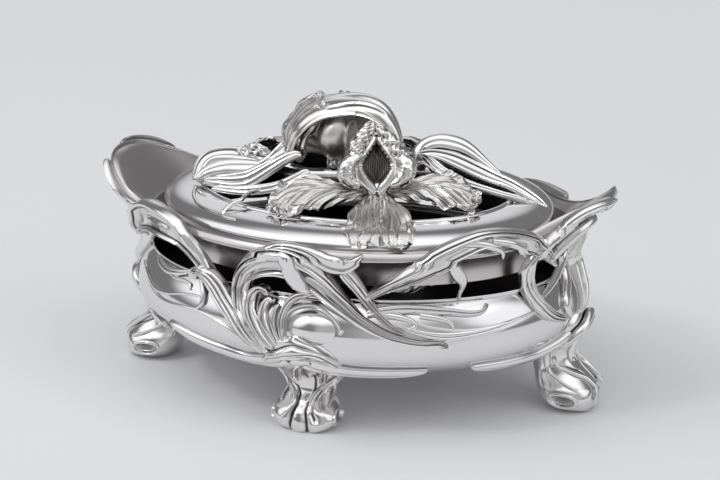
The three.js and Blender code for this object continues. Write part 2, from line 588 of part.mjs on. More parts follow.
function lidBezel() {
  const at = (inset, z) => around(ROUND, (deg) => oval(deg, LID_A - BEZEL_IN - inset, LID_B - BEZEL_IN - inset, z));
  const turn = Math.acos(1 - BEZEL_IN / BAND_A);
  const top = LID_Z + BAND_EDGE + BAND_RISE * Math.sin(turn) - 1.35 * BAND_WALL - SEAT;
  return hoop([at(0, LID_Z - BEZEL_H), at(0, top), at(BEZEL_T, top + 0.4), at(BEZEL_T, LID_Z - BEZEL_H)]);
}

// Rounded wire lying against the opening's edge.
function openingWire() {
  return hoop(Array.from({ length: 5 }, (_, i) => {
    const q = i * Math.PI / 2.5;
    const inset = WIRE_R + SEAT;
    return around(ROUND, (deg) => oval(deg, OPEN_A - inset + WIRE_R * Math.cos(q),
      OPEN_B - inset + WIRE_R * Math.cos(q), OPEN_Z - 0.3 * WIRE_R + WIRE_R * Math.sin(q)));
  }));
}

// Point in the blossoms' own frame (x to the right and y away from the blossom's face), as world.
function turned(x, y, z) {
  return V(x, y, z).applyAxisAngle(V(0, 0, 1), rad(FINIAL_TURN));
}

// Rows of a free strap in the blossoms' frame, heights above the opening, as world rows.
const finialRows = (rows) => rows.map(([x, y, z, ...rest]) => {
  const p = turned(x, y, z + OPEN_Z);
  return [p.x, p.y, p.z, ...rest];
});

// Keeps a point clear above the lid's band.
const draped = (p, clear) => p.setZ(Math.max(p.z, bandTop(p.x, p.y) + clear));

// A fall: the broad hanging petal of an iris. Rows along it hold x, y, z above the opening and half
// width in the blossoms' frame; its edge ruffles, and it drapes over the band.
function fall(rows, ruffle, cup) {
  return petal((u, v) => {
    const [x, y, z, wide] = through(rows, u);
    const [a, b] = [through(rows, Math.max(u - 0.02, 0)), through(rows, Math.min(u + 0.02, 1))];
    const dir = V(b[0] - a[0], b[1] - a[1], 0).normalize();
    const wave = ruffle * u * Math.sin(2.5 * Math.PI * v) + cup * (1 - v * v);
    return draped(turned(x + dir.y * v * wide, y - dir.x * v * wide, OPEN_Z + z + wave), 2 * SEAT);
  }, 9, 6, PETAL);
}

const FALLS = {
  centre: [[[10, -40, 11, 3], [10, -48, 7.5, 8], [10, -56, 4, 14], [10, -64, 2, 17.5], [10, -71, -1, 17], [10, -76, -4, 11]], 0.8, 2],
  left: [[[3, -37, 10, 3], [-6, -38, 10, 7], [-15, -40, 9, 11], [-24, -43, 8, 13], [-32, -48, 6, 11], [-38, -52, 4, 5]], 1.6, 2.5],
  right: [[[18, -37, 10, 3], [26, -37, 10, 6], [34, -38, 10, 10], [42, -39, 9, 12], [50, -41, 7, 11], [56, -43, 5, 5]], 1.6, 2.5],
};

// Core of a blossom: the short tube from which its petals grow.
const core = () => loft([[5.5, 4], [8, 6], [11, 6.6], [12.8, 4.5]].map(([z, r]) => around(12, (q) =>
  turned(10 + r * Math.cos(rad(q)), -37 + r * Math.sin(rad(q)), OPEN_Z + z))));

// Crest: one of the two upright ribbed ridges that frame the throat.
const crest = (side) => strapFree(finialRows([
  [10 + side * 8, -42, 10.5, 5, 4, 0], [10 + side * 13, -40, 15, 7, 5, 0], [10 + side * 14, -37, 21, 8, 5.5, 0],
  [10 + side * 11, -35, 28, 8, 5.5, 0], [10 + side * 6.5, -32, 34, 6, 5, 0], [10 + side * 3.5, -29, 38, 3.5, 4, 0],
]), 2);

// Throat: the hollow plate between the crests.
const throat = () => petal((u, v) => {
  const [z, wide] = through([[11, 2], [16, 6.5], [22, 8], [28, 6], [34, 2.5]], u);
  return turned(10 + v * wide, -36 + 8 * u + 3 * v * v - 1.5, OPEN_Z + z);
}, 6, 4, PETAL);

// Hood: the two blossoms' standards, joined into one arch over the bud.
const hood = () => petal((u, v) => {
  const [x, z, wide, shift] = through([
    [-33, 17, 9, 10], [-31, 28, 14, 8], [-24, 38, 16, 5], [-11, 44.5, 15, 2], [2, 46.5, 14, -4],
    [13, 43, 13, -12], [19, 34, 11, -19], [20, 24, 8, -24], [18, 14, 5, -28],
  ], u);
  const dip = 4.5 * v * v;
  return turned(x + (x < 0 ? 0.35 : -0.2) * dip, shift + v * wide, OPEN_Z + z - dip);
}, 12, 5, 1.6);

// Bud under the hood, and the grooved blade beside it.
const budInside = () => loft(spaced(8, (t) => {
  const r = 8.2 * Math.sin(Math.PI * (0.04 + 0.92 * t)) ** 0.75;
  return around(12, (q) => turned(-11 + r * Math.cos(rad(q)) + 2 * t, -4 + r * Math.sin(rad(q)), OPEN_Z + 14 + 23 * t));
}));
const budBlade = () => strapFree(finialRows([
  [-6, -12, 16, 5, 2.4, 0], [-2, -12.5, 23, 9, 3, 0], [-1.5, -12, 30, 9, 3, 0], [-4, -11, 37, 4, 2.4, 0],
]), 2);

// Stems that carry the hood and the bud on the band's sprays.
const stems = () => joined([
  strapFree(finialRows([[-33, 10, 17, 9, 5, 0], [-38, 6, 12, 10, 5, 0], [-46, 4, 7, 10, 4.5, 0], [-58, 2, 3, 9, 4, 0], [-72, 10, 0.6, 6, 3.5, 0]]), 2),
  strapFree(finialRows([[18, -28, 14, 8, 5, 0], [20, -18, 10, 8, 5, 0], [26, -6, 8, 9, 5, 0], [38, 2, 6, 9, 4.5, 0]]), 2),
  strapFree(finialRows([[-42, 5, 8, 8, 4.5, 0], [-26, -3, 4.5, 9, 5, 0], [-8, -5, 5, 10, 5, 0], [10, -4, 4.5, 9, 5, 0], [28, 1, 7, 8, 4.5, 0]]), 2),
  ...[-1, 1].map((face) => strapFree(finialRows([
    [face * 10, face * -34, 5, 6, 4, 0], [face * 10, face * -26, 4.5, 7, 4.5, 0], [face * 8, face * -16, 4, 8, 4.5, 0], [face * 2, face * -6, 5, 8, 4.5, 0],
  ]), 2)),
  loft(spaced(2, (t) => around(10, (q) => turned(-11 + 4 * Math.cos(rad(q)), -4 + 4 * Math.sin(rad(q)), OPEN_Z + 6 + 11 * t)))),
]);

const ribbedLeaf = () => strapFree(finialRows([
  [-80, 6, 1.2, 5, 2.6, 0], [-75, 11, 9, 9, 3.4, 0], [-67, 13, 12.5, 11, 3.8, 0], [-58, 12, 12, 11, 3.8, 0], [-50, 9, 9, 9, 3.6, 0],
  [-44, 7, 6, 5, 3, 0],
]), 3);
const strapLeafBack = () => strapFree(finialRows([
  [-76, -2, 1, 4, 2.6, 0], [-66, -5, 0.5, 7, 3.4, 0], [-57, -7, 3.5, 8, 4, 0], [-47, -8, 8, 8, 4, 0], [-38, -9, 12.5, 8, 4, 0],
  [-29, -9, 17, 7, 3.6, 0],
]), 2);
const strapLeafFront = () => strapFree(finialRows([
  [-70, -10, 0.4, 4, 2.4, 0], [-60, -14, -0.4, 6, 3, 0], [-50, -17, 0, 7, 3.4, 0], [-40, -18, 2, 7, 3.6, 0], [-30, -19, 6, 6.5, 3.6, 0],
  [-22, -18, 11, 5, 3.2, 0],
]), 2);
const longBlade = () => strapFree(finialRows([
  [30, 9, 12, 5, 3, 0], [38, 8, 12.5, 9, 3.6, 0], [47, 6, 10.5, 12, 4, 0], [57, 1, 7, 12, 4, 0], [67, -6, 4, 11, 4, 0],
  [76, -13, 2, 9, 3.6, 0], [85, -20, -1.5, 7, 3, 0], [92, -26, -4.5, 3, 2, 0],
]), 3);
const curledLeaf = () => strapFree(finialRows([
  [30, 16, 6, 5, 2.4, 0], [34, 21, 12.5, 8, 2.8, 0], [42, 22, 15, 9, 3, 0], [50, 21, 14.5, 9, 3, 0], [57, 18, 11.5, 8, 3, 0],
  [65, 13, 6, 6, 2.6, 0], [73, 7, 0.7, 3, 2, 0],
]), 2);

// Assembly

const box = new THREE.Group();
const half = new THREE.Group();
half.rotation.z = Math.PI;
box.add(half);

function node(name, solid, material, parent = box) {
  const mesh = new THREE.Mesh(geometryOf(solid), material);
  mesh.name = name;
  parent.add(mesh);
}

// Adds a piece and its copy half a turn round the box.
function pair(names, solid, material) {
  node(names[0], solid, material);
  node(names[1], solid, material, half);
}

const bowlSolid = bowl();
node('bowl', bowlSolid, SHEET);
const collarSolid = collar();
node('collar', collarSolid, SHEET);
node('lid_seat', lidSeat(), SHEET);

const footFront = footAt(SIDE_FOOT_AT, SIDE_FOOT, BELLY_B + SIDE_TOE, [48, 46]);
const footRight = footAt(0, END_FOOT, BELLY_A + END_TOE, [42, 30]);
pair(['foot_front', 'foot_back'], footFront, CAST);
pair(['foot_right', 'foot_left'], footRight, CAST);

// Foliage is laid at the seat gap above the sheet, so it is only cut where a chord dips nearer.
const sheetCutters = [bowlSolid, collarSolid].map((solid) => swollen(solid, 0.55 * SEAT));
const onSheet = (piece, ...neighbours) => beside(sheetCutters.reduce((p, c) => p.subtract(c), piece), ...neighbours);

const scrollSolid = onSheet(scroll(), footFront);
const whiplashSolid = onSheet(whiplash(), scrollSolid);
const leavesSolid = onSheet(innerLeaves(), footFront, scrollSolid);
const bossSolid = onSheet(boss(), footFront, scrollSolid, leavesSolid);
const budSolid = onSheet(bud(), whiplashSolid);
const tendrilSolid = onSheet(tendrils(), scrollSolid, whiplashSolid, budSolid);
const crescentSolid = onSheet(crescent(), footRight, whiplashSolid);
const stemSolid = onSheet(lipStem(), crescentSolid, whiplashSolid);
const irisBudSolid = onSheet(irisBud(), footRight, crescentSolid, stemSolid, whiplashSolid);
const hookSolid = onSheet(hook(), leavesSolid, irisBudSolid.rotate([0, 0, 180]));

pair(['scroll_front', 'scroll_back'], scrollSolid, CAST);
pair(['whiplash_front', 'whiplash_back'], whiplashSolid, CAST);
pair(['leaves_front', 'leaves_back'], leavesSolid, CAST);
pair(['boss_front', 'boss_back'], bossSolid, CAST);
pair(['bud_front', 'bud_back'], budSolid, CAST);
pair(['tendrils_front', 'tendrils_back'], tendrilSolid, CAST);
pair(['crescent_right', 'crescent_left'], crescentSolid, CAST);
pair(['lip_stem_right', 'lip_stem_left'], stemSolid, CAST);
pair(['iris_bud_right', 'iris_bud_left'], irisBudSolid, CAST);
pair(['hook_left', 'hook_right'], hookSolid, CAST);

const band = lidBand();
node('lid_band', band, SHEET);
node('lid_bezel', lidBezel(), SHEET);
const wire = openingWire();
node('opening_wire', wire, SHEET);

const bandCutter = swollen(band, 0.55 * SEAT);
const onBand = (piece, ...neighbours) => beside(piece.subtract(bandCutter), ...neighbours);
const hoodSolid = hood();
const spin = (solid) => solid.rotate([0, 0, 180]);
const coreSolid = core();
const stemsSolid = onBand(stems(), hoodSolid, wire, coreSolid, spin(coreSolid));
const crests = [-1, 1].map((side) => beside(crest(side), hoodSolid, stemsSolid, coreSolid));
const throatSolid = beside(throat(), ...crests, hoodSolid, coreSolid);
const fallCentre = onBand(fall(...FALLS.centre), coreSolid, ...crests, throatSolid, stemsSolid, wire);
const fallLeft = onBand(fall(...FALLS.left), coreSolid, ...crests, throatSolid, fallCentre, stemsSolid, wire);
const fallRight = onBand(fall(...FALLS.right), coreSolid, ...crests, throatSolid, fallCentre, stemsSolid, wire);
const front = [coreSolid, ...crests, fallCentre, fallLeft, fallRight];
const budInsideSolid = beside(budInside(), stemsSolid, hoodSolid);
const budBladeSolid = beside(budBlade(), budInsideSolid, stemsSolid, hoodSolid, ...crests);
pair(['core_front', 'core_back'], coreSolid, BLOSSOM);
pair(['crest_front_left', 'crest_back_right'], crests[0], BLOSSOM);
pair(['crest_front_right', 'crest_back_left'], crests[1], BLOSSOM);
pair(['throat_front', 'throat_back'], throatSolid, BLOSSOM);
pair(['fall_front_centre', 'fall_back_centre'], fallCentre, BLOSSOM);
pair(['fall_front_left', 'fall_back_right'], fallLeft, BLOSSOM);
pair(['fall_front_right', 'fall_back_left'], fallRight, BLOSSOM);
node('hood', hoodSolid, BLOSSOM);
node('finial_stems', stemsSolid, CAST);
node('finial_bud', budInsideSolid, BLOSSOM);
node('finial_blade', budBladeSolid, BLOSSOM);

const rest = [hoodSolid, stemsSolid, wire, ...front, ...front.map(spin)];
const leafA = onBand(ribbedLeaf(), ...rest);
const leafB = onBand(strapLeafBack(), ...rest, leafA);
const leafC = onBand(strapLeafFront(), ...rest, leafA, leafB);
const blade = onBand(longBlade(), ...rest);
const curl = onBand(curledLeaf(), ...rest, blade);
node('lid_leaf_ribbed', leafA, CAST);
node('lid_leaf_back', leafB, CAST);
node('lid_leaf_front', leafC, CAST);
node('lid_blade', blade, CAST);
node('lid_leaf_curled', curl, CAST);

export default box;
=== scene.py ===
"""Looks of the oval covered box: polished silver sheet, fluted cast foliage and an iris finial.
Every surface is worked out in millimetres, as whole arrays, and put into its mesh in metres."""
import math

import bpy
import numpy as np
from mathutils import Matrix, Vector


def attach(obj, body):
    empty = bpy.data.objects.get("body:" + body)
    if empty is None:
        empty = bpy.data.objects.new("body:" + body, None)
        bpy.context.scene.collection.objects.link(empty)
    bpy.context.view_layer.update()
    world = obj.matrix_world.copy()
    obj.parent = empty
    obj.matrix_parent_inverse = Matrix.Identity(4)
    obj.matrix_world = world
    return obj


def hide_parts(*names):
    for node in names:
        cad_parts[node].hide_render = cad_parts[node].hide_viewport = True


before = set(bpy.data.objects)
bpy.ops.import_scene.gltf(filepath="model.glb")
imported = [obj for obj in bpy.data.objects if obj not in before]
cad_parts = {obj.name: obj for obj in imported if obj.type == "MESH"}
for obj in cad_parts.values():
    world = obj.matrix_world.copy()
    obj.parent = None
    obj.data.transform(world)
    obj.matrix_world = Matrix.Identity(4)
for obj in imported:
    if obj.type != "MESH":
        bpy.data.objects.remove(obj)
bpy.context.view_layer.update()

# Sizes, millimetres and degrees
BELLY_A, BELLY_B, BELLY_Z = 114.5, 85.5, 50.0
BELLY_DROP, UNDER_TUCK = 26.0, 50.0
SHOULDER_RISE, SHOULDER_TUCK, SHOULDER_TURN, FLOOR_TURN = 26.0, 29.0, 44.8, -86.0
WALL, BEAD = 2.0, 1.1
SLOT, COLLAR_H = 5.5, 16.5
WAIST_TUCK_A, WAIST_TUCK_B, FLARE_A, FLARE_B = 16.0, 12.5, 8.1, 10.2
LIP_REACH, LIP_RISE, LIP_SPREAD, LIP_SWING, LIP_LEFT, LIP_RIGHT = 23.4, 18.0, 15.5, 1.0, 12.0, 17.0
RIM_BEAD, RIM_BEAD_TALL, RIM_BEAD_LOW = 0.8, 1.1, 0.6
GROOVE_A, GROOVE_B = 7.6, 5.2
BAND_A, BAND_B, BAND_RISE, BAND_EDGE, BAND_WALL = 18.5, 17.5, 7.3, 4.7, 1.8
LEDGE_DROP, LEDGE_T = 2.5, 2.2
BEZEL_IN, BEZEL_T, BEZEL_H = 6.6, 1.4, 7.0
WIRE_R, SEAT, DROP_IN = 1.4, 0.35, 0.6
FINIAL_TURN, PETAL, FALL_THICK, RUFFLE, TRAIL_CLEAR = 18.8, 1.1, 1.6, 1.9, 0.1
END_TOE, SIDE_TOE, SOLE_W, SIDE_FOOT_AT = 12.5, -5.5, 17.0, 268.0

rad, deg_of = np.radians, np.degrees
BOWL_TOP = BELLY_Z + SHOULDER_RISE * math.sin(rad(SHOULDER_TURN)) + 2 * BEAD
COLLAR_Z = BOWL_TOP + SLOT
RIM_Z = COLLAR_Z + COLLAR_H
WAIST_A, WAIST_B = BELLY_A - WAIST_TUCK_A, BELLY_B - WAIST_TUCK_B
RIM_A, RIM_B = WAIST_A + FLARE_A, WAIST_B + FLARE_B
LEDGE_Z = RIM_Z - LEDGE_DROP
LID_A, LID_B, LID_Z = RIM_A - GROOVE_A, RIM_B - GROOVE_B, LEDGE_Z + SEAT
OPEN_A, OPEN_B, OPEN_Z = LID_A - BAND_A, LID_B - BAND_B, LID_Z + BAND_EDGE + BAND_RISE
MOUNT_LOW, MOUNT_RIM, MOUNT_HOLLOW = BELLY_Z + 10, 1.4, 5.6
CHAMFER, LAP, SINK, SHADED = 0.4, 0.2, 0.15, 0.8
AROUND, HALVINGS, MM, SHARP, NOWHERE = 360, 24, 0.001, 50.0, -1000.0
ALL_ROUND = np.arange(AROUND) * 360.0 / AROUND
# Steps over which slopes are taken: degrees round, height, turns of sheet, shares up the collar and of a path
DEG_STEP, Z_STEP, TURN_STEP, UP_STEP, PATH_STEP = 0.2, 0.05, 0.5, 0.01, 0.01


# Arithmetic of curves
def through(rows, t):
    """Smooth row of numbers at t from 0 to 1: a cubic whose slope at each row is half the step
    between its two neighbours."""
    rows = np.asarray(rows, float)
    s = np.clip(np.asarray(t, float), 0, 1) * (len(rows) - 1)
    i = np.minimum(s.astype(int), len(rows) - 2)
    f = (s - i)[..., None]
    a, b, d, e = (rows[np.clip(i + k, 0, len(rows) - 1)] for k in (-1, 0, 1, 2))
    return b + 0.5 * f * (d - a + f * (2 * a - 5 * b + 4 * d - e + f * (3 * (b - d) + e - a)))


def unit(v):
    return v / np.maximum(np.linalg.norm(v, axis=-1, keepdims=True), 1e-9)


# Surfaces of the box
def oval(deg, a, b, z, out=0.0):
    """Point of an oval of half axes a and b at a polar angle, moved outward by out."""
    c, s = np.cos(rad(deg)), np.sin(rad(deg))
    r = 1 / np.hypot(c / a, s / b) + out
    return np.stack(np.broadcast_arrays(r * c, r * s, z), -1)


def bowl_skin(deg, turn):
    """Bowl: an ellipse arc of 26 by 50 below the belly and of 26 by 29 above it, swept round."""
    turn = np.asarray(turn, float)
    rise = np.where(turn < 0, BELLY_DROP, SHOULDER_RISE)
    inset = np.where(turn < 0, UNDER_TUCK, SHOULDER_TUCK) * (1 - np.cos(rad(turn)))
    return oval(deg, BELLY_A - inset, BELLY_B - inset, BELLY_Z + rise * np.sin(rad(turn)))


def bowl_at(deg, z):
    """The bowl's outside by height."""
    z = np.asarray(z, float)
    rise = np.where(z < BELLY_Z, BELLY_DROP, SHOULDER_RISE)
    return bowl_skin(deg, deg_of(np.arcsin(np.clip((z - BELLY_Z) / rise, -0.999, 0.999))))


def lipped(deg, up, a, b, z):
    """An oval drawn out and up into a lip at each end, by exp(-|angle / spread| cubed), growing
    with the share up of the collar's height."""
    off = (np.asarray(deg, float) + 90) % 180 - 90
    reach = np.exp(-np.abs((off - LIP_SWING) / LIP_SPREAD) ** 3)
    rise = np.exp(-np.abs(off / np.where(off > 0, LIP_LEFT, LIP_RIGHT)) ** 3)
    k = np.clip(up, 0, 1)
    return oval(deg, a, b, z + LIP_RISE * rise * k ** 1.3, LIP_REACH * reach * k ** 1.7)


def collar_skin(deg, up):
    """Collar: a flare that grows as up to the power 2.2, from the waist at 0 to the rim at 1."""
    up = np.asarray(up, float)
    flare = np.maximum(up, 0) ** 2.2
    return lipped(deg, up, WAIST_A + FLARE_A * flare, WAIST_B + FLARE_B * flare, COLLAR_Z + COLLAR_H * up)


def mount_skin(deg, z):
    """Surface that the foliage follows: the bowl low down, then straight to just outside the rim,
    drawn in by a half sine over the waist."""
    z = np.asarray(z, float)
    t = np.clip((z - MOUNT_LOW) / (RIM_Z - MOUNT_LOW), 0, 1)
    low = SHOULDER_TUCK * (1 - math.sqrt(1 - ((MOUNT_LOW - BELLY_Z) / SHOULDER_RISE) ** 2))
    sag = MOUNT_HOLLOW * np.sin(math.pi * t)
    a = (BELLY_A - low) * (1 - t) + (RIM_A + MOUNT_RIM) * t - sag
    b = (BELLY_B - low) * (1 - t) + (RIM_B + MOUNT_RIM) * t - sag
    high = lipped(deg, (z - COLLAR_Z) / COLLAR_H, a, b, z)
    return np.where((z <= MOUNT_LOW)[..., None], bowl_at(deg, z), high)


def band_skin(deg, turn):
    """Lid's band: a quarter ellipse from its outer edge at 0 to the opening at 90."""
    c, s = np.cos(rad(turn)), np.sin(rad(turn))
    return oval(deg, OPEN_A + BAND_A * c, OPEN_B + BAND_B * c, LID_Z + BAND_EDGE + BAND_RISE * s)


def normal_of(skin, u, v, dv=Z_STEP):
    """Outward unit normal, from differences along both parameters."""
    du = DEG_STEP
    return unit(np.cross(skin(u + du, v) - skin(u - du, v), skin(u, v + dv) - skin(u, v - dv)))


def ring_on(skin, v, out, dv):
    """Ring of points at one height or turn of a skin, moved along its normal."""
    height = v + 0 * ALL_ROUND
    return skin(ALL_ROUND, height) + out * normal_of(skin, ALL_ROUND, height, dv)


def ring_of(a, b, z):
    return oval(ALL_ROUND, a, b, z + 0 * ALL_ROUND)


def band_top(x, y):
    """Height of the lid's band over points in plan, found by halving; far below inside the opening."""
    lo, hi = np.zeros_like(x), np.ones_like(x)
    for _ in range(HALVINGS):
        c = (lo + hi) / 2
        beyond = np.hypot(x / (OPEN_A + BAND_A * c), y / (OPEN_B + BAND_B * c)) > 1
        lo, hi = np.where(beyond, c, lo), np.where(beyond, hi, c)
    inside = np.hypot(x / (OPEN_A - 2 * WIRE_R), y / (OPEN_B - 2 * WIRE_R)) < 1
    return np.where(inside, NOWHERE, LID_Z + BAND_EDGE + BAND_RISE * np.sqrt(1 - lo * lo))


# Meshes
def sheet_faces(rows, cols, closed):
    """Quads of a grid whose columns wrap round, and whose rows do too where closed."""
    i = np.arange(rows if closed else rows - 1)[:, None]
    j = np.arange(cols)[None, :]
    k, m = (i + 1) % rows, (j + 1) % cols
    return np.stack([i * cols + j, i * cols + m, k * cols + m, k * cols + j], -1).reshape(-1, 4)


def signed(points, faces):
    """Six times the enclosed volume: the sum of corner triple products."""
    a, b, c = (points[faces[:, k]] for k in (0, 1, 2))
    total = np.einsum("ij,ij->", a, np.cross(b, c))
    if faces.shape[1] == 4:
        total += np.einsum("ij,ij->", a, np.cross(c, points[faces[:, 3]]))
    return total


def shell(rings, dark=None, closed=False):
    """Closed surface through equal rings (n, m, 3); open ends are closed by a fan to their centre."""
    rings = np.asarray(rings, float)
    n, m = rings.shape[:2]
    dark = np.zeros((n, m)) if dark is None else np.broadcast_to(dark, (n, m))
    points, quads = rings.reshape(-1, 3), sheet_faces(n, m, closed)
    shade, fans = dark.reshape(-1), np.zeros((0, 3), int)
    if not closed:
        hubs = np.stack([rings[0].mean(0), rings[-1].mean(0)])
        j = np.arange(m)
        first = np.stack([n * m + 0 * j, (j + 1) % m, j], -1)
        last = np.stack([n * m + 1 + 0 * j, (n - 1) * m + j, (n - 1) * m + (j + 1) % m], -1)
        points = np.concatenate([points, hubs])
        shade = np.concatenate([shade, [dark[0].mean(), dark[-1].mean()]])
        fans = np.concatenate([first, last])
    volume = signed(points, quads) + (signed(points, fans) if len(fans) else 0)
    if volume < 0:
        quads, fans = quads[:, ::-1], fans[:, ::-1]
    return points, quads, fans, shade


def together(shells):
    """Several shells as one."""
    points, quads, fans, shade, base = [], [], [], [], 0
    for p, q, f, d in shells:
        points.append(p), quads.append(q + base), fans.append(f + base), shade.append(d)
        base += len(p)
    return tuple(np.concatenate(x) for x in (points, quads, fans, shade))


def piece(name, shape, body, material, nodes, half=False):
    """Puts a shell into a mesh, turned half round the box where asked, and seats it on its body."""
    points, quads, fans, shade = shape
    if half:
        points = points * [-1, -1, 1]
    mesh = bpy.data.meshes.new(name)
    corners = np.concatenate([quads.ravel(), fans.ravel()])
    counts = np.concatenate([np.full(len(quads), 4), np.full(len(fans), 3)])
    starts = np.concatenate([[0], np.cumsum(counts)[:-1]])
    mesh.vertices.add(len(points))
    mesh.vertices.foreach_set("co", (points * MM).astype(np.float32).ravel())
    mesh.loops.add(len(corners))
    mesh.loops.foreach_set("vertex_index", corners.astype(np.int32))
    mesh.polygons.add(len(counts))
    mesh.polygons.foreach_set("loop_start", starts.astype(np.int32))
    mesh.update(calc_edges=True)
    mesh.validate()
    # Per-point patina and painted shade, which the silver finishes turn into a darker, duller tone
    tone = mesh.attributes.new("patina_and_shade", "FLOAT", "POINT")
    tone.data.foreach_set("value", shade.astype(np.float32))
    mesh.polygons.foreach_set("use_smooth", np.ones(len(mesh.polygons), bool))
    mesh.set_sharp_from_angle(angle=rad(SHARP))
    mesh.materials.append(material)
    obj = bpy.data.objects.new(name, mesh)
    bpy.context.scene.collection.objects.link(obj)
    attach(obj, body)
    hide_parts(*nodes)
    return obj


# Fluted straps
SCROLL_RIBS = ([-0.8, -0.46, 0.4], [0.3, 0.34, -0.42, 0.34])
LEAF_RIBS = ([-0.52, -0.08, 0.42], [0.3, 0.36, 0.36, 0.3])
BLADE_RIBS = ([-0.38, 0.38], [0.3, 0.42, 0.3])
TWO_RIBS = ([0.1], [0.34, 0.38])
CHANNEL_RIBS = ([-0.62, -0.3, 0.62], [0.28, 0.3, -0.4, 0.3])
ROUND_RIB = ([], [0.0])
# Section of a strap, in shares: points across a rib, width and depth of a cut, edge and rise of the dome, and
# the part of its length over which the crowns fade
RIB_POINTS, CUT_WIDE, CUT_DEEP, DOME_EDGE, DOME_RISE, FADE = 9, 0.035, 0.1, 0.26, 0.5, 0.07
# Underside of a strap: shares across, heights, and its painted shade
UNDER_S, UNDER_H, UNDER_PAINTED_SHADE = [1, 1, 0.6, 0, -0.6, -1, -1.0], [0.15, 0, 0, 0, 0, 0, 0.15], 0.45
TUBE_AROUND = 40


def strap_section(ribs, steps):
    """Section of a strap by its share s across, from -1 to 1, and its share h of the height: a low
    dome, plus on each rib its crown times 1 - x squared, x running from -1 to 1 across the rib. A
    crown below nought is a hollow. Between ribs lies a fine cut. Upright sides and a flat underside
    close it, and the crowns fade at both ends of the strap."""
    cuts, crowns = ribs
    edges = np.array([-1, *cuts, 1.0])
    q = -np.cos(np.linspace(0, math.pi, RIB_POINTS + 1))
    s = np.concatenate([a + (b - a) * (q + 1) / 2 for a, b in zip(edges[:-1], edges[1:])])
    s = np.unique(np.round(s, 6))
    rib = np.clip(np.searchsorted(edges, s, "right") - 1, 0, len(crowns) - 1)
    x = (2 * s - edges[rib] - edges[rib + 1]) / (edges[rib + 1] - edges[rib])
    t = np.linspace(0, 1, steps)[:, None]
    fade = np.clip(np.minimum(t, 1 - t) / FADE, 0, 1) ** 0.6
    cut = sum((np.exp(-((s - c) / CUT_WIDE) ** 2) for c in cuts), np.zeros_like(s))
    crown = np.array(crowns)[rib] * (1 - x * x)
    dome = DOME_EDGE + DOME_RISE * np.sqrt(np.maximum(1 - s * s, 0))
    h = dome[None] + fade * (crown - CUT_DEEP * cut)[None]
    under = (steps, len(UNDER_S))
    ss = np.concatenate([np.broadcast_to(s, h.shape), np.broadcast_to(UNDER_S, under)], 1)
    hh = np.concatenate([h, np.broadcast_to(UNDER_H, under)], 1)
    hollow = np.maximum(-crown, 0)
    # Tone: patina and painted shade in the cuts and hollow crowns, painted shade on the upright sides
    tone = np.clip((0.9 * cut + 0.5 * hollow)[None] * fade + 0.35 * (np.abs(s) > 0.99), 0, 1)
    return ss, hh, np.concatenate([tone, np.full(under, UNDER_PAINTED_SHADE)], 1)


def strap_on(skin, rows, ribs=ROUND_RIB):
    """Strap laid on a skin. Rows hold degrees, height, lift, width and thickness. Its section is
    carried square to its path, along the skin, and stands up along the skin's normal."""
    steps = max(24, 8 * len(rows))
    t = np.linspace(0, 1, steps)
    deg, z, lift, wide, high = through(rows, t).T
    before, after = through(rows, t - PATH_STEP), through(rows, t + PATH_STEP)
    tangent = unit(skin(after[:, 0], after[:, 1]) - skin(before[:, 0], before[:, 1]))
    side = unit(np.cross(tangent, normal_of(skin, deg, z)))
    per_deg = skin(deg + 0.5, z) - skin(deg - 0.5, z)
    per_z = skin(deg, z + 0.5) - skin(deg, z - 0.5)
    d_deg = (side * per_deg).sum(1) / (per_deg ** 2).sum(1)
    d_z = (side * per_z).sum(1) / (per_z ** 2).sum(1)
    s, h, tone = strap_section(ribs, steps)
    across = s * wide[:, None] / 2
    u, v = deg[:, None] + across * d_deg[:, None], z[:, None] + across * d_z[:, None]
    up = lift[:, None] + h * (high[:, None] + SEAT + SINK) - SINK
    return shell(skin(u, v) + up[..., None] * normal_of(skin, u, v), tone)


def heading(rows, t):
    """Direction at t of a path whose rows begin with x, y, z."""
    return unit(through(rows, t + PATH_STEP)[:, :3] - through(rows, t - PATH_STEP)[:, :3])


def strap_free(rows, ribs):
    """Strap in free space. Rows hold x, y, z of its underside, width, thickness and a lean in
    degrees from lying flat."""
    steps = max(24, 8 * len(rows))
    t = np.linspace(0, 1, steps)
    row = through(rows, t)
    tangent = heading(rows, t)
    side = unit(np.cross(tangent, [0, 0, 1]))
    up = np.cross(side, tangent)
    lean = rad(row[:, 5:6])
    side, up = side * np.cos(lean) - up * np.sin(lean), up * np.cos(lean) + side * np.sin(lean)
    s, h, tone = strap_section(ribs, steps)
    points = (row[:, None, :3] + side[:, None] * (s * row[:, 3:4] / 2)[..., None]
              + up[:, None] * (h * row[:, 4:5])[..., None])
    return shell(points, tone)


def tube(rows, wrinkle=0.0, seed=1):
    """Tube along rows of x, y, z and radius. Wrinkles multiply its radius by one plus a sum of
    sines and sharp folds along and round it."""
    steps = max(30, 14 * len(rows))
    t = np.linspace(0, 1, steps)
    row = through(rows, t)
    tangent = heading(rows, t)
    side = unit(np.cross(tangent, [0.2, 1, 0.1]))
    up = np.cross(side, tangent)
    q = np.linspace(0, 2 * math.pi, TUBE_AROUND, endpoint=False)[None]
    k = np.random.default_rng(seed).uniform(0, 6.28, 6)
    a = t[:, None]
    fold = (np.sin(5 * q + 17 * a + k[0]) * np.sin(31 * a + 3 * np.sin(q + k[1]) + k[2])
            + 0.8 * (1 - 2 * np.abs(np.sin(1.5 * q - 15 * a + k[3]))) + 0.5 * np.sin(8 * q + 47 * a + k[4]))
    r = row[:, 3:4] * np.sin(math.pi * (0.06 + 0.88 * a)) ** 0.3 * (1 + wrinkle * fold)
    points = (row[:, None, :3] + side[:, None] * (r * np.cos(q))[..., None]
              + up[:, None] * (r * np.sin(q))[..., None])
    # Darker where the folds sink in: patina and painted shade in the creases
    return shell(points, np.clip(-0.45 * fold, 0, 0.85) * min(1, 12 * wrinkle))


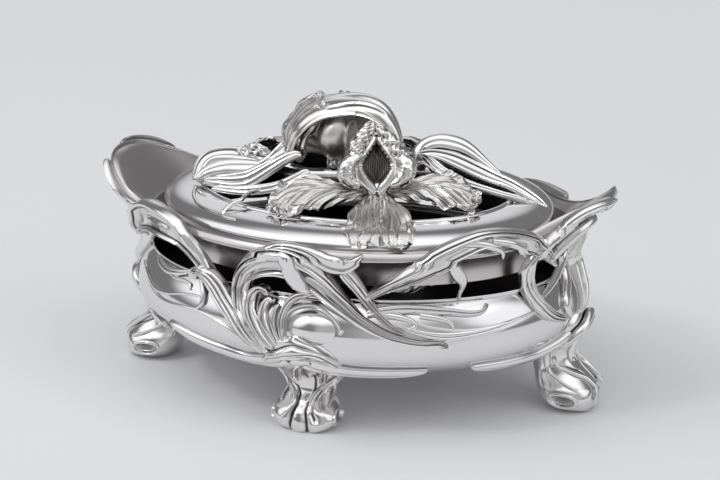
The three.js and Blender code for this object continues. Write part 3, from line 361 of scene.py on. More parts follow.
def leaf_grid(rows):
    """Petal or leaf along rows of x, y, z, half width, tilt and curl. Across it runs an arc whose
    slope is the tilt plus the curl times v, so its sides droop or roll under."""
    def grid(u, v):
        row = through(rows, u)
        step = unit((through(rows, u + 0.02) - through(rows, u - 0.02))[..., :2])
        tilt, curl = rad(row[..., 4]), rad(np.maximum(row[..., 5], 1))
        flat = (np.sin(tilt + curl * v) - np.sin(tilt)) / curl * row[..., 3]
        drop = (np.cos(tilt) - np.cos(tilt + curl * v)) / curl * row[..., 3]
        x, y = row[..., 0] + step[..., 1] * flat, row[..., 1] - step[..., 0] * flat
        return np.stack([x, y, row[..., 2] - drop], -1)
    return grid


def petal(grid, along, across, thick, relief=None):
    """Petal: points grid(u, v) for u along and v from -1 to 1 across, and the same points moved
    along the normal by a thickness that thins at its edges, with a relief added on the upper side.
    relief(u, v) gives its height and how dark its hollows are."""
    u, v = np.meshgrid(np.linspace(0, 1, along), np.linspace(-1, 1, across), indexing="ij")
    under = grid(u, v)
    e = PATH_STEP
    du = grid(np.minimum(u + e, 1), v) - grid(np.maximum(u - e, 0), v)
    dv = grid(u, np.minimum(v + e, 1)) - grid(u, np.maximum(v - e, -1))
    normal = unit(np.cross(du, dv))
    height = (thick(u, v) if callable(thick) else thick + 0 * u) * (0.35 + 0.65 * np.sqrt(1 - np.abs(v) ** 6))
    lift, dark = relief(u, v) if relief else (0 * u, 0 * u)
    over = under + normal * (height + lift)[..., None]
    rings = np.concatenate([under + normal * (lift * 0.8)[..., None], over[:, ::-1]], 1)
    # Painted shade on the underside; the relief's dark values darken the hollows of the upper side
    return shell(rings, np.concatenate([0.3 + 0 * dark, dark[:, ::-1]], 1))


# Finishes
CLOUD_SCALE, CLOUD_DETAIL, GRAIN_DETAIL = 60.0, 4.0, 2.0
CLOUD_SPREAD, CLOUD_SHIFT, GRAIN_STRENGTH = 0.35, -0.17, 0.5
BRIGHT_TO, DARK_FROM = 0.12, 0.85


def node(tree, kind, values=None):
    """New node of a tree, with the values of some of its inputs by name or number."""
    new = tree.nodes.new(kind)
    for socket, value in (values or {}).items():
        new.inputs[socket].default_value = value
    return new


def silver(name, tone, rough, patina_and_shade_tone, patina_and_shade_rough, grain, grain_depth):
    """Polished silver. A per-point attribute darkens and dulls it towards a second tone: patina in the
    hollows that polishing does not reach, and painted shade on insides, undersides and hollows. Two sizes of
    noise on
    Object coordinates vary the polish and give the surface its fine unevenness."""
    m = bpy.data.materials.new(name)
    m.use_nodes = True
    tree = m.node_tree
    shader = tree.nodes["Principled BSDF"]
    shader.inputs["Metallic"].default_value = 1.0
    where = node(tree, "ShaderNodeTexCoord")
    patina_and_shade = node(tree, "ShaderNodeAttribute")
    patina_and_shade.attribute_name = "patina_and_shade"
    cloud = node(tree, "ShaderNodeTexNoise", {"Scale": CLOUD_SCALE, "Detail": CLOUD_DETAIL})
    fine = node(tree, "ShaderNodeTexNoise", {"Scale": grain, "Detail": GRAIN_DETAIL})
    spread = node(tree, "ShaderNodeMath", {1: CLOUD_SPREAD, 2: CLOUD_SHIFT})
    spread.operation = "MULTIPLY_ADD"
    depth = node(tree, "ShaderNodeMath")
    depth.operation = "ADD"
    depth.use_clamp = True
    # Ramp from the polished tone to the dark tone of patina and painted shade
    ramp = node(tree, "ShaderNodeValToRGB")
    for stop, position, colour in zip(ramp.color_ramp.elements, (BRIGHT_TO, DARK_FROM), (tone, patina_and_shade_tone)):
        stop.position = position
        stop.color = (*colour, 1)
    polish = node(tree, "ShaderNodeMapRange", {"To Min": rough, "To Max": patina_and_shade_rough})
    bump = node(tree, "ShaderNodeBump", {"Strength": GRAIN_STRENGTH, "Distance": grain_depth})
    for out, into in (
            (where.outputs["Object"], cloud.inputs["Vector"]),
            (where.outputs["Object"], fine.inputs["Vector"]),
            (cloud.outputs["Fac"], spread.inputs[0]),
            (patina_and_shade.outputs["Fac"], depth.inputs[0]),
            (spread.outputs[0], depth.inputs[1]),
            (depth.outputs[0], ramp.inputs["Fac"]),
            (ramp.outputs["Color"], shader.inputs["Base Color"]),
            (depth.outputs[0], polish.inputs["Value"]),
            (polish.outputs["Result"], shader.inputs["Roughness"]),
            (fine.outputs["Fac"], bump.inputs["Height"]),
            (bump.outputs["Normal"], shader.inputs["Normal"])):
        tree.links.new(out, into)
    return m


# Tone and roughness where polished, the same where patina and painted shade are full, and scale and depth of
# the grain
SHEET_PATINA_AND_SHADE, CAST_PATINA_AND_SHADE = (0.035, 0.032, 0.03), (0.05, 0.043, 0.038)
SHEET = silver("polished_sheet", (0.82, 0.805, 0.81), 0.1, SHEET_PATINA_AND_SHADE, 0.5, 35.0, 0.00006)
COLLAR_SHEET = silver("satin_sheet", (0.66, 0.625, 0.625), 0.28, SHEET_PATINA_AND_SHADE, 0.5, 35.0, 0.00006)
CAST = silver("cast_silver", (0.84, 0.825, 0.82), 0.14, CAST_PATINA_AND_SHADE, 0.45, 220.0, 0.00008)
BUD_SATIN = silver("bud_satin", (0.84, 0.8, 0.76), 0.36, (0.2, 0.17, 0.14), 0.5, 300.0, 0.00008)
BLOSSOM = silver("blossom_silver", (0.85, 0.83, 0.815), 0.15, (0.06, 0.05, 0.042), 0.45, 500.0, 0.00012)


def sheet_piece(name, shape, body, nodes, finish=SHEET):
    return piece(name, shape, body, finish, nodes)


def pair(name, shapes, body, finish, nodes):
    """Two pieces, the second turned half round the box."""
    for half, end, shape, spot in zip((False, True), ("_front", "_back"), shapes, nodes):
        piece(name + end, shape, body, finish, [spot], half)


def cast_pair(name, shape, front, back, low=None):
    """Casting in front and behind, where it may have a lower shape of its own."""
    pair(name, (shape, low or shape), "box", CAST, (front, back))


def blossom_pair(name, shape, front, back):
    pair(name, (shape, shape), "lid", BLOSSOM, (front, back))


# Sheet metal
def bowl():
    """Outside profile up to a rolled bead on the edge, and down the inside to a flat floor."""
    turns = np.linspace(FLOOR_TURN, SHOULDER_TURN, 70)
    out = [ring_of(BELLY_A - UNDER_TUCK, BELLY_B - UNDER_TUCK, BELLY_Z - BELLY_DROP)]
    out += [ring_on(bowl_skin, v, 0.0, TURN_STEP) for v in turns]
    edge = ring_on(bowl_skin, SHOULDER_TURN, 0.0, TURN_STEP)
    way = ring_on(bowl_skin, SHOULDER_TURN, 1.0, TURN_STEP) - edge
    for q in np.linspace(-60, 200, 12):
        out.append(edge + way * (BEAD * np.cos(rad(q)) * 0.9) + [0, 0, BEAD * (1 + np.sin(rad(q)))])
    inner = [ring_on(bowl_skin, v, -WALL, TURN_STEP) for v in turns[::-1]]
    # Painted shade: the whole inside is set fully dark, as it lies in shadow behind the slots
    dark = np.repeat([0.0, 1.0], [len(out), len(inner) + 1])[:, None]
    out += inner + [ring_of(BELLY_A - UNDER_TUCK - 1, BELLY_B - UNDER_TUCK - 1, BELLY_Z - BELLY_DROP + WALL)]
    return shell(out, dark)


def collar():
    """The flare outside, a rolled bead along the rim, and the same flare one wall inside."""
    ups = np.linspace(0, 0.95, 26)
    out = [ring_on(collar_skin, v, 0.0, UP_STEP) for v in ups]
    top = ring_on(collar_skin, 1.0, 0.0, UP_STEP)
    way = ring_on(collar_skin, 1.0, 1.0, UP_STEP) - top
    for q in np.linspace(-50, 230, 14):
        reach = (0.5 * WALL + RIM_BEAD) * np.cos(rad(q)) - 0.5 * WALL
        out.append(top + way * reach + [0, 0, RIM_BEAD_TALL * np.sin(rad(q)) - RIM_BEAD_LOW])
    inner = np.array([ring_on(collar_skin, v, -WALL, UP_STEP) for v in ups[::-1]])
    # Painted shade on the inside, growing to full over 2 mm below the ledge
    dark = np.concatenate([np.zeros((len(out), AROUND)), np.clip((LEDGE_Z - inner[..., 2]) / 2, 0, 1)])
    return shell(np.concatenate([out, inner]), dark, closed=True)


def collar_up_at(deg, z):
    """Share of the collar's height at which its inside reaches a height, found by halving."""
    lo, hi = np.zeros_like(deg), np.ones_like(deg)
    for _ in range(HALVINGS):
        up = (lo + hi) / 2
        below = (collar_skin(deg, up) - WALL * normal_of(collar_skin, deg, up, UP_STEP))[..., 2] < z
        lo, hi = np.where(below, up, lo), np.where(below, hi, up)
    return lo


def lid_seat():
    """Ledge inside the collar: its outer edge follows the collar's inside, its inner edge is chamfered."""
    def outer(z):
        deg = ALL_ROUND
        up = collar_up_at(deg, z + 0 * deg)
        p = collar_skin(deg, up) - (WALL - LAP) * normal_of(collar_skin, deg, up, UP_STEP)
        p[:, 2] = z
        return p
    a, b, low = LID_A - BEZEL_IN + DROP_IN, LID_B - BEZEL_IN + DROP_IN, LEDGE_Z - LEDGE_T
    return shell([ring_of(a + CHAMFER, b + CHAMFER, low), outer(low), outer(LEDGE_Z),
                  ring_of(a + CHAMFER, b + CHAMFER, LEDGE_Z), ring_of(a, b, LEDGE_Z - CHAMFER),
                  ring_of(a, b, low + CHAMFER)], SHADED, closed=True)


# Lower edge of the lid's band: inset and height above its foot
BAND_EDGE_ROWS = [(1.5 + BAND_WALL, 0), (1.5, 0), (0.4, 0.6), (0, 1.6), (0, 3.0)]


def lid_band():
    """Rounded lower edge, the band's outside up to the opening, and back down one wall inside."""
    turns = np.linspace(0, 90, 40)
    edge = [ring_of(LID_A - inset, LID_B - inset, LID_Z + z) for inset, z in BAND_EDGE_ROWS]
    inner = [ring_on(band_skin, v, -BAND_WALL, TURN_STEP) for v in turns[::-1]]
    # Painted shade on the whole inside wall of the band
    dark = np.repeat([0.0, 1.0], [len(edge) + len(turns), len(inner)])[:, None]
    return shell(edge + [ring_on(band_skin, v, 0.0, TURN_STEP) for v in turns] + inner, dark, closed=True)


def lid_bezel():
    """Upright ring from under the band down into the seat, its lower edge chamfered."""
    turn = math.acos(1 - BEZEL_IN / BAND_A)
    top = LID_Z + BAND_EDGE + BAND_RISE * math.sin(turn) - BAND_WALL
    low = LID_Z - BEZEL_H
    rows = [(0, low + 0.5), (0, top), (BEZEL_T, top + CHAMFER), (BEZEL_T, low + 0.5),
            (BEZEL_T - CHAMFER, low), (CHAMFER, low)]
    a, b = LID_A - BEZEL_IN, LID_B - BEZEL_IN
    return shell([ring_of(a - inset, b - inset, z) for inset, z in rows], SHADED, closed=True)


def opening_wire():
    """Round wire against the edge of the opening."""
    q = np.linspace(0, 2 * math.pi, 16, endpoint=False)
    inset, level = WIRE_R + 0.1, OPEN_Z - 0.3 * WIRE_R
    return shell([ring_of(OPEN_A - inset + WIRE_R * math.cos(a), OPEN_B - inset + WIRE_R * math.cos(a),
                          level + WIRE_R * math.sin(a)) for a in q], closed=True)


sheet_piece("bowl_sheet", bowl(), "box", ["bowl"])
sheet_piece("collar_sheet", collar(), "box", ["collar"], COLLAR_SHEET)
sheet_piece("lid_ledge", lid_seat(), "box", ["lid_seat"])
sheet_piece("lid_dome_band", lid_band(), "lid", ["lid_band"])
sheet_piece("lid_bezel_ring", lid_bezel(), "lid", ["lid_bezel"])
sheet_piece("lid_wire", opening_wire(), "lid", ["opening_wire"])


# Feet. Rows hold height, outer and inner face from the toe, and half width as a share of the sole's
END_FOOT = [[0, -2.5, -24, 0.6], [2.5, -0.6, -27, 0.85], [7, 0, -30, 1], [12, -1, -32, 0.93],
            [16, -5, -33, 0.75], [21, -10.5, -34, 0.6], [27, -14.5, -34, 0.57], [33, -14, -33, 0.64],
            [39, -12, -30, 0.76], [45, -9.5, -26, 0.76], [50, -9.6, -20, 0.45], [52, -10.8, -16, 0.15]]
SIDE_FOOT = [[0, -2.5, -20, 0.6], [2.5, -0.6, -23, 0.85], [6, 0, -25, 1], [10, -1.5, -26, 0.93],
             [14, -6, -27, 0.72], [18.5, -10.5, -28, 0.62], [22.5, -11, -28, 0.7], [27, -9.6, -27, 0.92],
             [32, -5, -24, 1.12], [37, 0.5, -20, 1.2], [43, 6.5, -14, 1.05], [49, 9.2, -8, 0.6],
             [52, 8.6, -3, 0.15]]
# Grooves between the toes run up the shank in S-curves; rows hold height and degrees round the foot
TOE_GROOVES = [
    [[0, -30], [3, -20], [6, -15], [10, -14], [13.5, -10], [17, -11], [20, -24], [22.5, -60], [24, -90]],
    [[0, 17], [3.5, 13], [7, 10.5], [11, 8], [13.6, 11], [17, 19], [20.4, 24], [24, 20], [29, 12]],
    [[7.5, 27], [11.6, 18], [14.5, 20], [18.2, 41], [21.8, 72], [25, 96]]]
EYE_Q, EYE_Z, EYE_WIDE, EYE_TALL, EYE_DEEP = 92.0, 7.2, 19.0, 2.5, 2.8
# Half widths in degrees of a groove's cut, its tone and the hollow about it, and where the toes fade out
CUT_Q, TONE_Q, HOLLOW_Q, TOES_TOP, TOES_FADE = 4.5, 3.0, 13.0, 15.0, 6.0
# Band up the side of the shank; rows hold degrees from the toe, height, lift, width and thickness
SHANK_BAND = [[96, 44, 0, 3, 2], [92, 36, 0, 3.4, 2.2], [94, 28, 0, 3, 2.2], [96, 21, 0, 3, 2],
              [84, 15.5, 0, 3, 2], [62, 12.6, 0, 2, 1.6]]


def turned_by(points, deg):
    c, s = math.cos(rad(deg)), math.sin(rad(deg))
    return points @ np.array([[c, s, 0], [-s, c, 0], [0, 0, 1]])


def foot_skin(rows, toe):
    """Plain foot by degrees round it and height: a rounded rectangle whose front, back and width
    follow the rows."""
    share = np.linspace(0, 1, 400)
    heights = np.maximum.accumulate(through(rows, share)[:, 0])

    def skin(q, z):
        _, outer, inner, wide = np.moveaxis(through(rows, np.interp(z, heights, share)), -1, 0)
        c, s = np.cos(rad(q)), np.sin(rad(q))
        x = toe + (outer + inner) / 2 + (outer - inner) / 2 * np.sign(c) * np.abs(c) ** 0.8
        y = np.sign(s) * np.abs(s) ** 0.85 * wide * SOLE_W
        return np.stack(np.broadcast_arrays(x, y, np.maximum(z, 0)), -1)
    return skin


def foot(rows, toe, deg):
    """Foot: its skin, drawn in along the toes' grooves by bells of the distance to each, with a
    hollow eye in each side of the sole, ringed by a volute, a band up each side, and the calyx."""
    skin = foot_skin(rows, toe)
    z = np.linspace(0, rows[-1][0], 150)[:, None]
    q = (np.arange(300) * 1.2 - 180)[None]
    points = skin(q, z + 0 * q)
    depth, dark = 0 * z * q, 0 * z * q
    for groove in TOE_GROOVES:
        way = np.array(groove, float)
        middle = np.interp(z, way[:, 0], way[:, 1])
        slope = np.abs(np.gradient(middle[:, 0], z[:, 0]))[:, None]
        run = np.clip((z - way[0, 0] + 2) / 2, 0, 1) * np.clip((way[-1, 0] - z) / 2, 0, 1)
        off = (q - middle) / np.hypot(1, slope / 9)
        toes = np.clip((TOES_TOP - z) / TOES_FADE, 0, 1)
        depth += run * (0.7 + 0.4 * toes) * np.exp(-(off / CUT_Q) ** 2)
        depth += run * 1.2 * toes * np.exp(-(off / HOLLOW_Q) ** 2)
        # Patina and painted shade along the groove
        dark += run * np.exp(-(off / TONE_Q) ** 2)
    eye = np.clip(1 - ((np.abs(q) - EYE_Q) / EYE_WIDE) ** 2 - ((z - EYE_Z) / EYE_TALL) ** 2, 0, 1)
    depth += EYE_DEEP * np.sqrt(eye)
    # Patina and painted shade in the hollow eye
    dark += 0.6 * np.sqrt(eye)
    inward = points - np.stack(np.broadcast_arrays(points[..., :1].mean(1)[:, None, 0], 0, z), -1)
    inward[..., 2] = 0
    points = points - unit(inward) * depth[..., None]
    shape = [shell(points, np.clip(dark, 0, 1))]
    for side in (-1, 1):
        turn = rad(np.linspace(-20, 330, 15))
        ring = [[side * (EYE_Q - (EYE_WIDE + 4) * math.cos(a)), EYE_Z + (EYE_TALL + 0.9) * math.sin(a), 0,
                 1.2 + 0.9 * abs(math.cos(a / 2)), 0.8] for a in turn]
        shape.append(strap_on(skin, ring))
        shape.append(strap_on(skin, [[side * q, *rest] for q, *rest in SHANK_BAND]))
    shape += [strap_on(skin, calyx, ribs) for calyx, ribs in CALYX]
    shape = together(shape)
    return (turned_by(shape[0], deg), *shape[1:])


# Hooded calyx over the knee: its ribbon arches over and runs down between the toes; rows hold degrees
# round the foot, height, lift, width and thickness
CALYX = [
    ([[-72, 33, 0, 2.4, 2], [-52, 38, 0.4, 4, 2.6], [-28, 43, 0.8, 5.6, 3], [4, 46.6, 1, 6.4, 3],
      [36, 46.4, 1, 6.4, 3], [58, 42, 0.8, 5.8, 3], [71, 35, 0.5, 4.8, 2.8], [70, 27.5, 0, 4, 2.4],
      [48, 22.6, 0, 3.4, 2.2], [30, 18.6, 0, 2.8, 2], [19, 14.4, 0, 2.2, 1.8],
      [17, 10.6, 0, 1.4, 1.2]], TWO_RIBS),
    ([[-80, 27, 0, 2.4, 2], [-74, 22.6, 0, 3.2, 2.2], [-50, 19.4, 0, 3.2, 2.2], [-24, 16.6, 0, 3, 2],
      [-18, 13.2, 0, 2.6, 1.8], [-22, 10, 0, 2, 1.6], [-28, 7, 0, 1, 1]], ROUND_RIB),
    ([[-20, 24, 0, 4, 2.2], [-12, 30, 0, 7, 3], [-4, 36, 0.2, 7.5, 3.4], [8, 40.4, 0.4, 6, 3.2],
      [24, 41.4, 0.4, 3.6, 2.4]], ROUND_RIB),
    ([[34, 24, 0, 3, 2], [34, 30, 0, 4.6, 2.6], [38, 35.4, 0.2, 4.6, 2.6],
      [46, 38.6, 0.2, 2.4, 2]], BLADE_RIBS)]


# Apron leaf; rows hold degrees from the knee as a step and a share of its reach, height and its share of the
# point's rise, width and thickness
APRON = [[3, 0, 41, 0, 9, 3.2], [8, 0, 37.4, 0, 10.5, 3], [0, 0.4, 34.6, 0, 10, 2.6],
         [0, 0.6, 34, 0.3, 10.6, 2.4], [0, 0.8, 34.4, 0.6, 9.6, 2.2], [0, 0.93, 35.4, 0.9, 6, 1.8],
         [0, 1, 36.6, 1, 1.4, 1.2]]
APRON_LIFT = 0.2


def apron(deg, reach, side, rise):
    """Long leaf along the bowl's lower edge, from the foot's knee; its point rises by so much."""
    return strap_on(bowl_at, [[deg + side * (step + share * reach), z + part * rise, APRON_LIFT, wide, thick]
                              for step, share, z, part, wide, thick in APRON], TWO_RIBS)


for name, rows, toe, deg, leaves, nodes in (
        ("side_foot", SIDE_FOOT, BELLY_B + SIDE_TOE, SIDE_FOOT_AT, ((48, -1, 7), (43, 1, 0)),
         ("foot_front", "foot_back")),
        ("end_foot", END_FOOT, BELLY_A + END_TOE, 0.0, ((36, -1, 0), (34, 1, 3)),
         ("foot_right", "foot_left"))):
    leaves = [apron(deg, *leaf) for leaf in leaves]
    cast_pair(name, together([foot(rows, toe, deg), *leaves]), *nodes)


# Foliage of the body
def laid(*straps):
    """Straps laid on the mount, each given by its rows and its ribs, as one shape."""
    return together([strap_on(mount_skin, *strap) for strap in straps])


def lowered(straps, drop, share):
    """Straps with each height above a level so far below the rim cut to a share."""
    level = RIM_Z - drop
    return [([[deg, z if z < level else level + share * (z - level), *rest] for deg, z, *rest in rows], ribs)
            for rows, ribs in straps]


def on_bowl(*straps):
    return together([strap_on(bowl_at, *strap) for strap in straps])


cast_pair("scroll", laid(
    ([[258.5, 43, 0, 4.5, 3], [256.5, 48.5, 0, 5.5, 4], [253, 54, 0, 6.5, 4.5], [250.5, 59, 0, 7.2, 5],
      [248.5, 64.5, 0, 8, 5], [247.8, 71, 0, 9.5, 5.5], [249.5, 78, 0, 11, 5.5], [254.5, 84.5, 0, 14, 6],
      [260.5, 88, 0, 17, 6], [266, 88, 0, 18.5, 6], [271, 84.5, 0, 18, 6], [275.5, 79.5, 0, 15, 6],
      [280, 73, 0, 12, 5.5], [284.5, 67.5, 0, 10, 5.5], [289, 62.5, 0, 7.5, 5], [294, 58.5, 0, 5.6, 4.5],
      [299, 55.5, 0, 4.6, 4], [304, 53.5, 0, 3.8, 3.6], [308.5, 52.4, 0, 3.2, 3.2],
      [312.5, 52.2, 0, 2.6, 3], [314.2, 50.6, 0, 2, 2.4], [312.4, 50, 0, 1.6, 2]], SCROLL_RIBS),
    ([[264.5, 93.5, 3, 4, 3], [267.5, 90.5, 5, 8, 4], [269, 85, 6, 8.5, 5], [270.5, 79.5, 6, 7.4, 5],
      [272, 76, 5.5, 5.4, 4.5], [272.5, 73, 4.5, 3.6, 4]], ROUND_RIB),
    ([[257, 91.5, 0.5, 2.5, 2.5], [261, 95.5, 0.5, 3.2, 3], [266, 97.5, 0.5, 3.4, 3],
      [273, 96, 0.5, 4.4, 3], [277, 93, 0.5, 7, 3], [281, 90, 0.5, 10, 3], [285, 89.5, 0.5, 8.5, 3],
      [288, 92, 1, 5, 2.6], [290.5, 95.5, 1.5, 1.4, 2]], TWO_RIBS),
    ([[285, 86, 0, 7.5, 3.5], [289, 77.5, 0, 6.4, 3.5], [292.5, 70, 0, 5, 3.2], [296, 64, 0, 4, 3],
      [299.5, 59.5, 0, 3, 2.6], [303, 57, 0, 1.5, 2]], BLADE_RIBS)), "scroll_front", "scroll_back")
cast_pair("inner_leaves", laid(
    ([[257.5, 43, 0, 3.5, 3], [254.5, 47.5, 0, 6, 3.5], [251, 52.5, 0, 7.4, 4], [247, 58, 0, 8, 4],
      [242.5, 63, 0.6, 9, 4], [238.5, 68.5, 1.6, 10, 4], [235, 73, 2.6, 9.5, 4],
      [231.6, 74.6, 3.6, 6.4, 3.8], [229.8, 72, 4, 5.5, 3.4], [230, 68.5, 3.4, 3.5, 2.8]], LEAF_RIBS),
    ([[262, 46, 0, 2.5, 3], [258, 50.5, 0, 5, 3.5], [255, 56, 0, 5.8, 4], [252.6, 62, 0.3, 6.2, 4.5],
      [252.6, 67.5, 0.6, 6.2, 4.5], [255, 71.6, 1.4, 5.2, 4.5], [257.6, 71.8, 2.4, 4.2, 4],
      [258.6, 69, 2.6, 2.4, 3]], TWO_RIBS),
    ([[263, 47, 0, 2, 2.5], [260.5, 52, 0, 3.2, 3], [258, 57, 0, 4.2, 3.4], [257, 62.5, 0.4, 4.2, 3.6],
      [258.5, 67, 1, 3.6, 3.6], [260.6, 66.5, 1.6, 2.2, 3]], ROUND_RIB),
    ([[264.5, 48, 0, 2, 2.5], [262.5, 53, 0, 2.6, 3], [261.2, 58.5, 0, 2.8, 3.2],
      [261.5, 63.5, 0.4, 2.6, 3.2], [262.8, 65.5, 1, 1.6, 2.6]], ROUND_RIB),
    ([[266, 47.5, 0, 1.6, 2], [264.6, 54, 0, 2.6, 3], [264.2, 60, 0.5, 3.2, 3.2],
      [265.6, 66, 1.5, 3.8, 3.2], [268.6, 70.5, 2.5, 4.2, 3], [272.5, 73, 3, 4.5, 3],
      [275.5, 75, 3, 2.4, 2.4]], TWO_RIBS)),
    "leaves_front", "leaves_back")


def boss_grid(u, v):
    """Round patch of the bowl: its half height over u is that of an ellipse."""
    deg, z = 266.5 + 15.5 * u, 57 + 8.2 * v * np.sqrt(1 - 0.97 * (2 * u - 1) ** 2)
    return bowl_at(deg, z) - 0.1 * normal_of(bowl_at, deg, z)


cast_pair("boss", together([
    on_bowl(([[267, 47.5, 0, 2, 1.6], [265, 53, 0, 1.8, 1.8], [264.6, 59, 0, 1.8, 1.8],
              [266.2, 63.4, 0, 1.8, 1.8], [270.5, 66, 0, 1.8, 1.8], [275.5, 66, 0, 1.8, 1.8],
              [280, 63, 0, 1.8, 1.8], [282.8, 59, 0.3, 1.8, 1.8], [283.6, 56, 0.4, 1.8, 1.8],
              [284.6, 57.4, 0.4, 1.4, 1.6]], ROUND_RIB)),
    petal(boss_grid, 60, 60, lambda u, v: 0.2 + 3.0 * (1 - (2 * u - 1) ** 2) * (1 - v * v))]),
    "boss_front", "boss_back")

WHIP = [
    ([[292, 71.5, 0.5, 3.4, 4], [296, 76.5, 1, 5.4, 4.5], [302, 83, 2, 8.5, 4.5],
      [307.5, 89, 2.5, 10.8, 4.5], [313, 94.5, 2.5, 11, 4.5], [318.5, 98.5, 2.2, 10.4, 4.5],
      [324, 101, 1.5, 9.5, 4.5], [330, 100.5, 1, 8.6, 4.5], [335.5, 97, 1, 7.8, 4.5],
      [340.5, 90.5, 1.5, 6.6, 4.5], [346, 83, 2, 4.6, 4], [351, 77.5, 2.6, 2.2, 2.6]], CHANNEL_RIBS),
    ([[319.5, 99.5, 1.5, 4, 3], [324.5, 98.5, 2.5, 4.4, 3.2], [328, 96, 3, 3.6, 3],
      [330, 92.5, 3, 1.4, 2]], ROUND_RIB),
    ([[327, 99.5, 1.5, 4, 3], [332, 97, 2.5, 4.2, 3.2], [335, 93.5, 3, 3, 3],
      [337.3, 89, 3, 1.2, 2]], ROUND_RIB)]
HANGING_BUD = [([[314.5, 94, 1, 2.6, 3], [317, 89, 1.5, 5.4, 4], [319, 84.5, 2, 6, 5],
                 [320.4, 80.5, 1.8, 5, 5], [320.6, 76.8, 1.2, 3.4, 4], [320.2, 73.5, 0, 2.4, 3],
                 [320, 70, -2, 2, 2.6]], ROUND_RIB)]
TENDRILS = [
    ([[292, 64.4, 0.1, 3.6, 2.4], [298, 65.8, 0.1, 4.4, 2.6], [304, 66.4, 0.1, 4.8, 2.6],
      [311, 65.8, 0.1, 4.4, 2.6], [317, 64.8, 0.1, 3.8, 2.5], [322, 63.6, 0.1, 3, 2.4],
      [325.6, 64, 0.1, 2.2, 2.2], [327.6, 66.4, 0.1, 1.6, 2]], TWO_RIBS),
    ([[296, 64.4, 0.1, 3.4, 2.4], [301, 63.8, 0.1, 3.4, 2.4], [305, 62.2, 0.1, 2.8, 2.2],
      [306.2, 59.8, 0.1, 2.2, 2.2], [303.8, 58.6, 0.1, 1.6, 1.8]], ROUND_RIB),
    ([[303, 63.5, 0, 1, 0.9], [305.5, 62, 0, 1.5, 1], [311, 59, 0, 1.6, 1.1], [318.5, 57, 0, 1.6, 1.1],
      [326, 57, 0, 1.5, 1.1], [336, 59, 0, 1.5, 1], [342.5, 60.5, 0, 1, 0.8]], ROUND_RIB),
    ([[297.5, 56, 0, 1.5, 0.9], [302, 53.5, 0, 2, 1.1], [307, 52.5, 0, 2, 1.1], [314.5, 52, 0, 2, 1.1],
      [323, 54, 0, 1.6, 1.1], [332.5, 56.5, 0, 1.5, 1], [341, 60, 0, 1, 0.8]], ROUND_RIB),
    ([[301, 60.5, -0.1, 2, 0.7], [307, 57, -0.1, 3.4, 0.9], [314.5, 54.8, -0.1, 4.4, 1],
      [323.5, 55.5, -0.1, 3.6, 0.9], [333, 58, -0.1, 2.2, 0.8], [338.5, 59.6, -0.1, 1.2, 0.6]], TWO_RIBS),
    ([[308, 64.2, 0.1, 3.4, 2.4], [313.4, 62.6, 0.1, 3, 2.2], [316, 60.8, 0.1, 2.2, 2],
      [316.6, 58.4, 0.1, 1.4, 1.8]], ROUND_RIB)]
# Chased lines and a small curled leaf on the bowl under the hook
CHASING = [
    ([[198, 62, 0, 1.6, 0.9], [204, 60.4, 0, 2, 1], [210, 57.4, 0, 2.2, 1], [214, 56.4, 0, 2.2, 1],
      [219.5, 57.6, 0, 1.8, 1], [224, 59.6, 0, 1.6, 1], [229, 61, 0, 1.5, 1],
      [233, 61.4, 0, 1, 0.8]], ROUND_RIB),
    ([[208, 57.6, 0, 1.6, 0.9], [211.5, 55.4, 0, 2.2, 1], [216, 53.4, 0, 2.4, 1], [221, 53.4, 0, 2.2, 1],
      [228, 54.6, 0, 2, 1], [234, 54.8, 0, 2, 1], [240.5, 53, 0, 2, 1], [247.5, 49, 0, 2, 1],
      [252.5, 44, 0, 1.6, 0.8]], ROUND_RIB),
    ([[204.5, 68.4, 0, 2.2, 1.2], [209, 67, 0, 3.6, 1.6], [214.5, 66.2, 0, 4.2, 1.9],
      [219.5, 67, 0, 4, 1.9], [223, 68.6, 0, 3.4, 1.7], [224.6, 70.6, 0, 2.6, 1.4],
      [224, 72.4, 0, 1.4, 1]], TWO_RIBS),
    ([[214.5, 66.2, 0.2, 2, 1.6], [219.5, 65, 0.2, 2.2, 1.8], [223.4, 65.2, 0.2, 2, 1.7],
      [226.4, 64.8, 0.2, 1.6, 1.4], [227.6, 62.8, 0.2, 1, 1]], ROUND_RIB)]
cast_pair("whiplash", laid(*WHIP), "whiplash_front", "whiplash_back",
          laid(*lowered(WHIP, drop=4, share=0.35)))
cast_pair("hanging_bud", laid(*HANGING_BUD), "bud_front", "bud_back")
cast_pair("tendrils", on_bowl(*TENDRILS, *CHASING), "tendrils_front", "tendrils_back")
cast_pair("crescent", laid(
    ([[343, 88, 1.5, 3.6, 3], [341.2, 84, 1, 6.4, 3.6], [340.8, 79, 0.5, 8, 4], [340.8, 73, 0, 8.2, 4],
      [341, 67, 0, 8, 4], [342.2, 61, 0, 7.5, 4], [345, 56, 0, 6, 3.6], [350, 52, 0, 3.4, 3]], LEAF_RIBS)),
    "crescent_right", "crescent_left")
